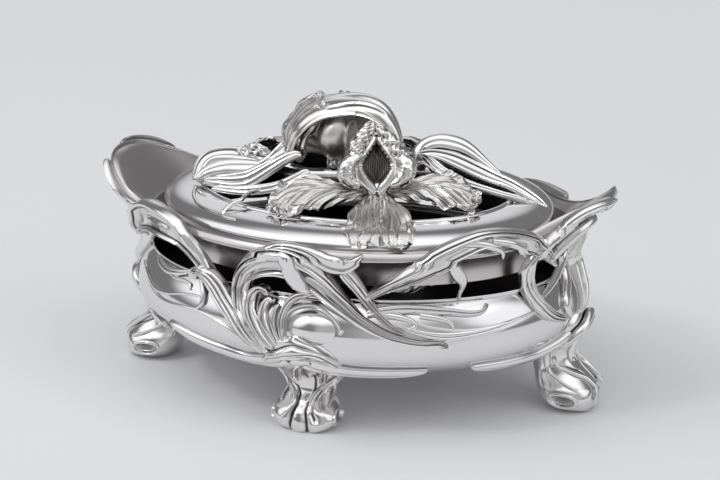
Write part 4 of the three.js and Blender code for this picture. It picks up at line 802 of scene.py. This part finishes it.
cast_pair("iris_bud", laid(
    ([[355.5, 79, 0.5, 3.5, 3], [358, 72, 0.5, 6, 4], [356.4, 65.5, 0, 6, 4.5], [353, 61, 0, 5.4, 4],
      [351.6, 56.6, 0, 4.8, 3.4], [353, 51.5, 0, 3, 2.5]], ROUND_RIB),
    ([[357, 86.5, 0.5, 3.4, 4], [361, 80, 1, 9, 6], [363, 72.5, 0.8, 12, 7], [362.4, 65, 0.4, 12, 6.6],
      [360.4, 57.5, 0, 9, 5], [357.4, 50, 0, 3.4, 2.8]], BLADE_RIBS),
    ([[344.5, 64.5, 0, 2, 2.5], [348.5, 67, 0, 3.2, 3], [353, 70.4, 0.6, 4.4, 3.2], [358, 76, 1, 4.6, 3.6],
      [362, 83, 1, 3, 3]], ROUND_RIB),
    ([[366, 87, 0.5, 3, 3], [369, 79, 0.5, 6, 4], [370, 70, 0, 7, 5], [368, 62, 0, 6.6, 4.6],
      [364, 54, 0, 4.4, 3.4], [360, 50, 0, 2.6, 2.5]], TWO_RIBS)), "iris_bud_right", "iris_bud_left")
cast_pair("lip_stem", laid(
    ([[343, 83.5, 1.5, 3.6, 3.5], [343.4, 88, 1.5, 6, 4], [345, 92, 1.5, 5.4, 4], [347.4, 94, 1, 4.8, 3.8],
      [350, 94.4, 0.6, 4.4, 3.4], [354, 93.6, 0.2, 3.8, 3], [357.5, 92, 0, 2.4, 2]], TWO_RIBS),
    ([[348, 80, 1.5, 3.6, 3], [349.8, 84, 1.5, 5, 3.4], [352.6, 86.6, 1.2, 6, 3.2], [356.5, 88, 1, 5, 3],
      [359, 88, 1, 3, 2.4]], TWO_RIBS)), "lip_stem_right", "lip_stem_left")
HOOK = [
    ([[242.5, 60, 0, 3, 3], [238.5, 66, 0, 4.4, 3.5], [235, 73, 0.8, 6.5, 4], [232, 80, 1.4, 9, 4.5],
      [229.4, 87.6, 1.5, 11.5, 5], [225.6, 93, 1.5, 13, 5.5], [219.4, 95.6, 2, 14.5, 6],
      [212, 95.4, 2.4, 14.5, 6], [205.8, 92.4, 4, 12, 6], [201.6, 87.6, 5.2, 9.5, 5.5],
      [200, 82.6, 5.2, 7, 4.5], [200.6, 78, 4.4, 3.6, 3]], SCROLL_RIBS),
    ([[179, 92, 0.2, 3, 1.6], [183, 91.6, 0.3, 4.6, 2.2], [188, 90.8, 0.4, 5, 2.4],
      [193.5, 89.6, 0.6, 4.6, 2.6], [199, 87.6, 1.4, 3.6, 2.6]], TWO_RIBS),
    ([[213, 95, 1, 5, 4], [206, 93.4, 0.8, 5, 3.4], [200, 92, 0.4, 4.4, 3], [195, 92, 0, 4.4, 2.6],
      [190.5, 92.4, 0, 4.4, 2.4], [186.5, 92.4, 0, 3, 2]], TWO_RIBS),
    ([[233, 79, 0.5, 2.6, 2.4], [230.6, 74, 0.5, 2.8, 2.4], [231.4, 68.4, 0.6, 2.6, 2.4],
      [233.8, 63, 0.6, 2.4, 2.4], [234.4, 58.6, 0.4, 2.2, 2.2], [232.8, 56, 0.3, 1.6, 1.8]], ROUND_RIB)]
cast_pair("hook", laid(*HOOK), "hook_left", "hook_right",
          laid(*lowered(HOOK, drop=8, share=0.3)))


# Finial and leaves of the lid
def in_finial(shape):
    """A shape worked out in the blossoms' frame, set on the lid: x to the right, y away from the face of
    the front blossom, z up from the opening."""
    return (turned_by(shape[0], FINIAL_TURN) + [0, 0, OPEN_Z], *shape[1:])


def draped(shape, clear):
    """The shape with each point at least so far above the lid's band."""
    points = shape[0].copy()
    points[:, 2] = np.maximum(points[:, 2], band_top(points[:, 0], points[:, 1]) + clear * (points[:, 2] > 0))
    return (points, *shape[1:])


def cusped(x):
    """Round ribs with a sharp valley between each two, once for each half turn of x."""
    return np.abs(np.sin(x))


def fan_relief(ribs):
    """Ribs that spread from the base of the petal as v times 1.5 - 0.85 u, and a beaded midrib."""
    def relief(u, v):
        bend = v * (1.5 - 0.85 * u) + 0.05 * np.sin(9 * u + 5 * v)
        rib = cusped(math.pi * ribs / 2 * (np.sign(bend) * np.abs(bend) ** 0.9))
        grow = np.clip(u * 2.5, 0, 1)
        mid = np.exp(-(v / 0.06) ** 2) * (u < 0.62)
        # Dark between the ribs: patina and painted shade in the valleys
        return (2.0 * grow * (rib - 0.5) + mid * (1.1 + 0.3 * np.sin(90 * u)),
                np.clip(1.25 - 2.6 * rib, 0, 1) * grow * (1 - mid))
    return relief


def feather_relief(ribs):
    """Uneven ribs that leave a midrib on both sides and lean towards the tip, with finer ones on them."""
    def relief(u, v):
        way = ribs * (u - 0.5 * np.abs(v) ** 0.8 + 0.03 * np.sin(11 * u + 4 * v))
        rib = 0.8 * cusped(math.pi * way) + 0.2 * cusped(3 * math.pi * way)
        side = np.clip(np.abs(v) * 5, 0, 1)
        mid = np.exp(-(v / 0.07) ** 2) * (u < 0.8)
        # Dark between the ribs: patina and painted shade in the valleys
        return (1.5 * side * (rib - 0.5) + 0.8 * mid, np.clip(1.1 - 2.8 * rib, 0, 1) * side)
    return relief


# Falls; rows hold x, y, z, half width, tilt and curl
FALLS = {
    "centre": [[10, -40, 9.4, 5.5, 0, 66], [10, -45, 9, 11.5, 0, 56], [10.3, -53, 7.6, 15, 0, 42],
               [10.6, -61, 5, 16.6, 0, 32], [10.8, -68, 2, 17, 0, 26], [10.6, -74, -1, 16.8, 0, 22],
               [10.3, -78, -3.6, 15.4, 0, 20], [10, -81, -6, 12.5, 0, 18]],
    "left": [[5, -37, 8.4, 3, -10, 40], [-3, -38.5, 9.4, 6, -22, 50], [-11, -41, 11.6, 9.4, -32, 60],
             [-19.5, -43, 12, 11.5, -34, 50], [-27, -45.5, 11, 12, -28, 38], [-33, -48, 8.4, 11, -22, 28],
             [-37, -50, 5.4, 8.5, -18, 20], [-39, -51.5, 3, 4.5, -15, 15]],
    "right": [[15, -37, 8.4, 3, 10, 40], [22, -37.5, 9.6, 6, 22, 50], [29.5, -38.5, 12, 9, 32, 56],
              [37, -40, 13, 11, 32, 46], [44, -42, 12, 12, 26, 36], [50, -44, 9.4, 11, 22, 28],
              [54, -45.5, 6.4, 8.4, 18, 20], [56.5, -46.5, 4, 4.5, 15, 15]]}


def fall(rows, relief):
    """Fall: the hanging petal of an iris. Its tip is notched at the midrib by a bell of v, and its
    edge ruffles as sines across and along, which grow with the share from the base and from the
    midrib."""
    plain = leaf_grid(rows)

    def grid(u, v):
        p = plain(u * (1 - 0.09 * np.exp(-(v / 0.22) ** 2)), v)
        edge = np.abs(v) ** 3 * np.clip(2 * u - 0.3, 0, 1) + np.clip(7 * u - 6, 0, 1) ** 2
        wave = np.sin(8 * v + 17 * u * np.sign(v)) + 0.4 * np.sin(15 * v - 29 * u)
        p[..., 2] += RUFFLE * np.clip(edge, 0, 1) * (0.6 + wave)
        return p
    return petal(grid, 100, 120, FALL_THICK, relief)


for spot, relief, front, back in (("centre", fan_relief(8), "fall_front_centre", "fall_back_centre"),
                                  ("left", feather_relief(5), "fall_front_left", "fall_back_right"),
                                  ("right", feather_relief(5), "fall_front_right", "fall_back_left")):
    blossom_pair("fall_" + spot, draped(in_finial(fall(FALLS[spot], relief)), 2 * SEAT), front, back)

blossom_pair("core", in_finial(tube([[10, -36, 5, 3.6], [10, -36.5, 8, 6], [10, -37, 11, 6.4],
                                     [10, -37, 13.4, 4.4]])),
             "core_front", "core_back")
blossom_pair("crest_left", in_finial(together([
    tube([[8.5, -29, 40, 2.4], [5.4, -31, 37.4, 3.2], [2.4, -33, 33.5, 3.7], [0, -35, 30, 3.5],
          [-0.6, -37, 26.5, 3.3], [-1, -38.5, 23.5, 3.4]], wrinkle=0.13, seed=3),
    tube([[1, -38, 26, 2.8], [-3.6, -39.5, 22.6, 4], [-5.2, -40.6, 18, 4.5], [-3.2, -41.6, 14.2, 3.7],
          [1.4, -42, 12.2, 2.3]], wrinkle=0.02, seed=5)])),
    "crest_front_left", "crest_back_right")
blossom_pair("crest_right", in_finial(together([
    tube([[9, -29, 38.4, 2.6], [13.4, -31, 34.4, 3.4], [17.4, -33, 29.8, 4], [21, -35, 25, 4.2],
          [22.6, -37, 21, 4]], wrinkle=0.14, seed=8),
    tube([[20, -36.5, 24.5, 3.4], [23.4, -37.5, 22, 4.5], [23.6, -39, 18, 4.5], [20.6, -41, 14.2, 3.7],
          [16, -42, 12.2, 2.3]], wrinkle=0.03, seed=9)])),
    "crest_front_right", "crest_back_left")

# Throat; rows hold height, depth, half width and half width of its dark hollow
THROAT = [[8.6, -43.5, 2.4, 0.3], [11.5, -43, 6.5, 1.4], [15, -42, 9.4, 4.6], [19, -40.5, 10.4, 7.2],
          [22.5, -39, 9.6, 7.4], [26.5, -36.5, 7.6, 4.6], [30, -34, 5.4, 2], [33, -31.5, 3, 0.3]]


def throat_grid(u, v):
    """Throat: an upright lozenge, hollow where it is narrower than the inner lozenge."""
    z, y, wide, dark = np.moveaxis(through(THROAT, u), -1, 0)
    hollow = np.clip(1 - (v * wide / np.maximum(dark, 0.2)) ** 2, 0, 1)
    return np.stack([9.4 - v * wide, y + 5.5 * hollow ** 0.6 + 1.5 * np.abs(v) ** 4, z], -1)


def throat_relief(u, v):
    _, _, wide, dark = np.moveaxis(through(THROAT, u), -1, 0)
    inside = np.clip(1.4 * (1 - np.abs(v * wide) / np.maximum(dark, 0.2)) + 0.4, 0, 1)
    lines = 0.5 + 0.5 * np.sin(6.5 * v * wide + 2 * np.sin(5 * u))
    # Painted shade inside the throat's hollow, lighter along the striations
    return 0.25 * inside * lines, np.clip(1.5 * inside, 0, 1) * (1.0 - 0.3 * lines)


blossom_pair("throat", in_finial(petal(throat_grid, 70, 70, PETAL, throat_relief)),
             "throat_front", "throat_back")

HOOD = [[-34, 15, 8, 8], [-33.4, 24, 12, 7], [-29, 34, 15, 5], [-20, 41.5, 16, 3], [-8, 45, 15.5, -1],
        [4, 45.6, 14.5, -7], [13.5, 41.5, 13, -14], [18.6, 33, 10.5, -20], [19.6, 24, 8, -24.5],
        [18, 15, 5.5, -28]]


def hood_grid(u, v):
    """Hood: an arch over the bud. Rows hold x, z, half width and shift in depth; its sides fall off
    with v squared and its front edge rolls in."""
    x, z, wide, shift = np.moveaxis(through(HOOD, u), -1, 0)
    drop = 4.8 * v * v + 1.6 * np.clip(-v - 0.6, 0, 1)
    return np.stack([x + np.where(x < 0, 0.4, -0.25) * drop, shift + v * wide, z - drop], -1)


def hood_relief(u, v):
    lobes = cusped(math.pi * (1.5 * v + 0.25)) ** 0.8
    right = np.clip(5 * (u - 0.42), 0, 1) * np.clip(12 * (0.97 - u), 0, 1)
    fine = cusped(math.pi * 3.5 * v)
    left = np.clip(3 * (0.45 - u), 0, 1)
    slit = np.exp(-((v + 0.62 - 0.5 * (u - 0.55)) / 0.05) ** 2)
    slit = slit * np.clip(1 - np.abs(u - 0.52) / 0.14, 0, 1) ** 0.3
    # Dark between the lobes and ribs and in the slit: patina and painted shade
    return (2.4 * right * (lobes - 0.5) + 0.8 * left * (fine - 0.5) - 0.9 * slit,
            np.clip(np.clip(1 - 4 * lobes, 0, 1) * right + np.clip(1 - 2.6 * fine, 0, 1) * left + slit, 0, 1))


STANDING = [[-31, 0, 13, 4], [-31.6, -1, 20, 7], [-30, -2.4, 28, 8.4], [-26.8, -3.6, 35, 8.4],
            [-22.6, -4.4, 41, 7], [-18.6, -4.4, 46, 3]]


def standing_grid(u, v):
    """Standing petal against the hood: rows hold x, y, z and half width; its edges curl towards the
    front and ruffle as a sine of u."""
    x, y, z, wide = np.moveaxis(through(STANDING, u), -1, 0)
    edge = np.abs(v) ** 3
    return np.stack([x + 0.75 * wide * v + 0.8 * edge * np.sin(13 * u),
                     y - 0.6 * wide * v - 1.6 * v * v + edge * np.cos(16 * u),
                     z - 0.25 * wide * v + 0.5 * edge * np.sin(15 * u + 2)], -1)


def standing_relief(u, v):
    rib = cusped(math.pi * (2.6 * v + 0.25 * np.sin(5 * u)))
    # Dark between the ribs: patina and painted shade in the valleys
    return 1.2 * (rib - 0.4), np.clip(1 - 2.8 * rib, 0, 1)


def lining_grid(u, v):
    """Wall inside the hood, behind the bud: straight from the hood's path to a middle point above
    the stems, and swelling away from the bud as half a turn of a sine."""
    x, z, wide, shift = np.moveaxis(through(HOOD, 0.03 + 0.66 * u), -1, 0)
    w = (v + 1) / 2
    y = np.maximum(shift + 0.5 * wide, 6.5)
    return np.stack([x * (1 - w) - 9 * w, y * (1 - w) + 8 * w + 3.5 * np.sin(math.pi * w),
                     (z - 3) * (1 - w) + 12 * w], -1)


def lining_relief(u, v):
    rib = cusped(math.pi * 8 * u)
    grow = np.clip(2.4 * (1 - v), 0, 1)
    # Painted shade over the lining inside the hood, deeper towards its middle point, and patina and painted
    # shade between its ribs
    return 0.6 * rib * grow, 0.25 + 0.6 * np.clip(1 - 3 * rib, 0, 1) * grow + 0.3 * np.clip(v, 0, 1)


# Bud: middle of its foot, how far its tip leans to the right, height and radius
BUD_AT, BUD_LEAN, BUD_TALL, BUD_R = (-11.5, -5, 14), 3, 27, 9.4


def bud_under_hood():
    """Bud: rings whose radius is half a turn of a sine over its height, to the power 0.66."""
    x, y, z = BUD_AT
    q = np.linspace(0, 2 * math.pi, 60, endpoint=False)
    h = np.linspace(0, 1, 60)[:, None]
    r = BUD_R * np.sin(math.pi * (0.02 + 0.96 * h)) ** 0.66
    return shell(np.stack([x + BUD_LEAN * h + r * np.cos(q), y + r * np.sin(q),
                           z + BUD_TALL * h + 0 * q], -1))


def blossom_piece(name, shape, nodes, finish=BLOSSOM):
    piece(name, in_finial(shape), "lid", finish, nodes)


HOOD_THICK, STANDING_THICK, LINING_THICK = 1.6, 1.4, 1.0
blossom_piece("hood_arch", together([
    petal(hood_grid, 130, 90, HOOD_THICK, hood_relief),
    petal(standing_grid, 80, 70, STANDING_THICK, standing_relief),
    tube([[-19, -4, 44, 1.5], [-18, -4.4, 47, 2.4],
          [-16.4, -4.4, 48.6, 1.4]], wrinkle=0.1, seed=4)]), ["hood"])
blossom_piece("bud_in_hood", together([
    bud_under_hood(), petal(lining_grid, 110, 60, LINING_THICK, lining_relief)]), ["finial_bud"], BUD_SATIN)
blossom_piece("bud_blade", strap_free([[-6.2, -9.4, 15, 4, 2.4, 0], [-3.2, -11.8, 22, 7.6, 3, 0],
                                       [-2.2, -12.6, 29, 8, 3, 0],
                                       [-1.7, -13.1, 37, 3.6, 2.2, 0]], BLADE_RIBS), ["finial_blade"])


def lid_cast(name, shape, node):
    piece(name, in_finial(shape), "lid", CAST, [node])


lid_cast("finial_stem_work", together([strap_free(rows, TWO_RIBS) for rows in (
    [[-33, 10, 17, 9, 5, 0], [-38, 6, 12, 10, 5, 0], [-46, 4, 7, 10, 4.5, 0], [-58, 2, 3, 9, 4, 0],
     [-72, 10, 0.6, 6, 3.5, 0]],
    [[18, -28, 14, 8, 5, 0], [20, -18, 10, 8, 5, 0], [26, -6, 8, 9, 5, 0], [38, 2, 6, 9, 4.5, 0]],
    [[-42, 5, 8, 8, 4.5, 0], [-26, -3, 4.5, 9, 5, 0], [-8, -5, 5, 10, 5, 0], [10, -4, 4.5, 9, 5, 0],
     [28, 1, 7, 8, 4.5, 0]],
    [[-10, 34, 5, 6, 4, 0], [-10, 26, 4.5, 7, 4.5, 0], [-8, 16, 4, 8, 4.5, 0], [-2, 6, 5, 8, 4.5, 0]],
    [[10, -34, 5, 6, 4, 0], [10, -26, 4.5, 7, 4.5, 0], [8, -16, 4, 8, 4.5, 0], [2, -6, 5, 8, 4.5, 0]])]
    + [tube([[-11, -4, 5, 4], [-11, -4, 11, 4.2], [-11, -4, 17, 4]])]), "finial_stems")
lid_cast("leaf_ribbed", together([
    strap_free([[-80, 4, 1.2, 5, 2.6, 0], [-77.5, 8, 6.5, 8, 3.4, 8], [-73, 11, 10, 11, 3.8, 12],
                [-65.5, 12.5, 10.8, 13, 4, 14], [-56.5, 12.5, 9.8, 13, 4, 12], [-47.5, 11, 7.8, 11, 3.8, 8],
                [-40, 8, 6.4, 7, 3, 0]], SCROLL_RIBS),
    strap_free([[-79, 1, 1, 4, 2.4, 0], [-74.5, 3.4, 5, 9, 3, 10], [-66, 5, 7.4, 12, 3.2, 14],
                [-57, 5, 7.8, 13, 3.2, 14], [-48, 4, 7.2, 10, 3.2, 8], [-41, 3, 6.4, 5, 3, 0]], TWO_RIBS),
    tube([[-42, 16, 9, 1.6], [-46, 16, 12, 2.6], [-50, 16, 13.6, 3], [-55, 16, 11.8, 3],
          [-60, 16, 12.6, 2.6], [-64, 15, 9, 1.6]], wrinkle=0.16, seed=6)]), "lid_leaf_ribbed")
lid_cast("leaf_back", strap_free([[-76, -2, 1.6, 4, 2.6, 0], [-69, -4.5, 2.4, 9, 3.4, 14],
                                  [-61, -6.4, 3, 12, 3.6, 22], [-54, -7.4, 4.4, 13, 3.6, 24],
                                  [-47, -8, 8, 12.5, 3.6, 20], [-40, -8.6, 12, 11, 3.6, 14],
                                  [-33, -9, 15.6, 9, 3.6, 6], [-27, -9, 17.6, 5, 3, 0]],
    BLADE_RIBS), "lid_leaf_back")
piece("leaf_front", together([
    in_finial(strap_free([[-71, -10, 0.6, 4, 2.4, 0], [-64, -13, 0.2, 6.5, 3, 10],
                          [-55.5, -16, 0.4, 8, 3.4, 14], [-46.5, -18, 1.4, 8.6, 3.6, 16],
                          [-37.5, -19, 3.6, 8.6, 3.6, 14], [-29.5, -19, 7.4, 7.6, 3.6, 8],
                          [-22.5, -18, 11.4, 5, 3.2, 0]], BLADE_RIBS)),
    draped(in_finial(tube([[-46, -18, 3.4, 0.8], [-50, -25, 4.6, 1.1], [-53.4, -31, 4.6, 1.1],
                           [-55.7, -36, 3.4, 1.1], [-60.5, -38, 1.4, 1.1], [-63.7, -41, -1.1, 1.1],
                           [-62.3, -42.6, -3.3, 1.1], [-57, -42.4, -3.3, 1.1], [-53.3, -40, -2, 1.0],
                           [-51.5, -37, 0.3, 0.8]])), TRAIL_CLEAR),
    strap_on(band_skin, [[201, 82, 0, 1, 0.7], [205, 73, 0, 1.6, 0.9], [212.5, 61, 0, 1.7, 0.9],
                         [219, 52.5, 0, 1.8, 0.9], [225.5, 50, 0, 1.8, 0.9], [231, 49.5, 0, 1.8, 0.9],
                         [235.5, 46, 0, 1.6, 0.9],
                         [239.5, 46.5, 0, 1, 0.7]])]), "lid", CAST, ["lid_leaf_front"])
lid_cast("long_blade", together([
    strap_free([[30, 9, 11.4, 5, 3, 0], [38, 8, 12, 10, 3.6, 6], [47, 6, 10.4, 13, 3.6, 8],
                [57, 1, 7.2, 13, 3.6, 8], [67, -6, 4.2, 11.5, 3.6, 6], [76, -13, 2.1, 9.5, 3.4, 0],
                [85, -20, -1.5, 7, 3, 0], [92, -26, -4.5, 3, 2, 0]], CHANNEL_RIBS),
    strap_free([[31, 0, 14, 3, 2.4, 0], [35.5, -6, 13.2, 5.6, 3, 8], [41, -12, 9.6, 7, 3.2, 12],
                [50, -18, 6, 7, 3.2, 10], [60, -22, 3.6, 5.6, 3, 4], [70, -25, 1.6, 4.8, 2.6, 0],
                [78, -27.5, 0.2, 3.8, 2.4, 0], [84, -29, -1.2, 1.4, 1.6, 0]], BLADE_RIBS)]), "lid_blade")
lid_cast("curled_leaf", strap_free([[30, 16, 6, 5, 2.4, 0], [33.5, 20.5, 13, 9, 2.8, 20],
                                    [41, 21.5, 16, 11, 3, 24], [50, 20.5, 15, 11, 3, 22],
                                    [57, 18, 11.8, 9, 3, 14], [65, 13, 6, 6, 2.6, 0],
                                    [73, 7, 0.7, 3, 2, 0]], TWO_RIBS), "lid_leaf_curled")


# Floor, light and camera
FLOOR_TONE, FLOOR_ROUGH, SKY_TONE = (0.88, 0.88, 0.89, 1), 0.8, (0.97, 0.985, 1.0, 1)
KEY_SPOT, KEY_AIM, KEY_SIZE, KEY_RADIANCE = (-0.75, -0.85, 1.25), (0, 0, 0.08), (0.22, 0.22), 18.0
# Camera in metres and degrees, and what the photo gives in pixels
VIEW_ROUND, VIEW_UP, VIEW_AWAY, VIEW_HEIGHT, FILM = 18.8, 19.0, 1.025, 0.060, 36.0
NEAR, FAR = 0.05, 20
PHOTO_WIDE_PX, FOCAL_PX, SHIFT_X_PX, SHIFT_Y_PX = 720, 2030, 3, 25.5
AMBIENT = 0.2
# Soft lobes of the world's light: azimuth from +X, height, where a lobe is full, where it ends, radiance
LOBES = [(-80, 76, 12, 52, 1.05), (-152, 34, 8, 36, 0.95), (-12, 30, 6, 30, 0.9), (112, 28, 4, 24, 0.6),
         (-62, 10, 8, 40, 0.26)]


def lamp(name, spot, aim, size, radiance):
    """Soft box: a rectangle of even radiance, so its power is pi times radiance times area."""
    light = bpy.data.lights.new(name, "AREA")
    light.shape = "RECTANGLE"
    light.size, light.size_y = size
    light.energy = math.pi * radiance * size[0] * size[1]
    obj = bpy.data.objects.new(name, light)
    obj.location = spot
    obj.rotation_euler = (Vector(aim) - Vector(spot)).to_track_quat("-Z", "Y").to_euler()
    bpy.context.scene.collection.objects.link(obj)


def studio():
    """Pale floor, and a world whose light comes from wide soft lobes: for each, the cosine between a
    direction and the lobe's middle is carried smoothly from nought at its edge to its radiance."""
    side, steps = 3.0, 60
    along = np.linspace(-side, side, steps)
    x, y = np.meshgrid(along, along, indexing="ij")
    points = np.stack([x, y, 0 * x], -1).reshape(-1, 3)
    i, j = np.meshgrid(np.arange(steps - 1), np.arange(steps - 1), indexing="ij")
    k = (i * steps + j).ravel()
    mesh = bpy.data.meshes.new("floor")
    mesh.from_pydata(points.tolist(), [], np.stack([k, k + steps, k + steps + 1, k + 1], -1).tolist())
    m = bpy.data.materials.new("pale_floor")
    m.use_nodes = True
    shader = m.node_tree.nodes["Principled BSDF"]
    shader.inputs["Base Color"].default_value = FLOOR_TONE
    shader.inputs["Roughness"].default_value = FLOOR_ROUGH
    mesh.materials.append(m)
    floor = bpy.data.objects.new("floor", mesh)
    bpy.context.scene.collection.objects.link(floor)
    world = bpy.data.worlds.new("studio")
    world.use_nodes = True
    tree = world.node_tree
    where = node(tree, "ShaderNodeTexCoord")
    total = None
    for azimuth, height, inner, outer, radiance in LOBES:
        level = math.cos(rad(height))
        aim = (level * math.cos(rad(azimuth)), level * math.sin(rad(azimuth)), math.sin(rad(height)))
        dot = node(tree, "ShaderNodeVectorMath", {1: aim})
        dot.operation = "DOT_PRODUCT"
        tree.links.new(where.outputs["Generated"], dot.inputs[0])
        lobe = node(tree, "ShaderNodeMapRange", {
            "From Min": math.cos(rad(outer)), "From Max": math.cos(rad(inner)), "To Max": radiance})
        lobe.interpolation_type = "SMOOTHERSTEP"
        tree.links.new(dot.outputs["Value"], lobe.inputs["Value"])
        add = node(tree, "ShaderNodeMath", {1: AMBIENT})
        tree.links.new(lobe.outputs["Result"], add.inputs[0])
        if total:
            tree.links.new(total.outputs[0], add.inputs[1])
        total = add
    background = tree.nodes["Background"]
    background.inputs["Color"].default_value = SKY_TONE
    tree.links.new(total.outputs[0], background.inputs["Strength"])
    bpy.context.scene.world = world
    lamp("key_box", KEY_SPOT, KEY_AIM, KEY_SIZE, KEY_RADIANCE)


def camera():
    """Looks at a point above the table's middle, from so far round, up and away."""
    cam = bpy.data.cameras.new("view")
    cam.sensor_width, cam.lens = FILM, FOCAL_PX / PHOTO_WIDE_PX * FILM
    cam.shift_x, cam.shift_y = SHIFT_X_PX / PHOTO_WIDE_PX, SHIFT_Y_PX / PHOTO_WIDE_PX
    cam.clip_start, cam.clip_end = NEAR, FAR
    obj = bpy.data.objects.new("view", cam)
    a, e = rad(VIEW_ROUND), rad(VIEW_UP)
    back = Vector((math.sin(a) * math.cos(e), -math.cos(a) * math.cos(e), math.sin(e)))
    obj.location = Vector((0, 0, VIEW_HEIGHT)) + VIEW_AWAY * back
    obj.rotation_euler = (-back).to_track_quat("-Z", "Y").to_euler()
    bpy.context.scene.collection.objects.link(obj)
    bpy.context.scene.camera = obj


studio()
camera()
bpy.context.scene.view_settings.view_transform = "Standard"
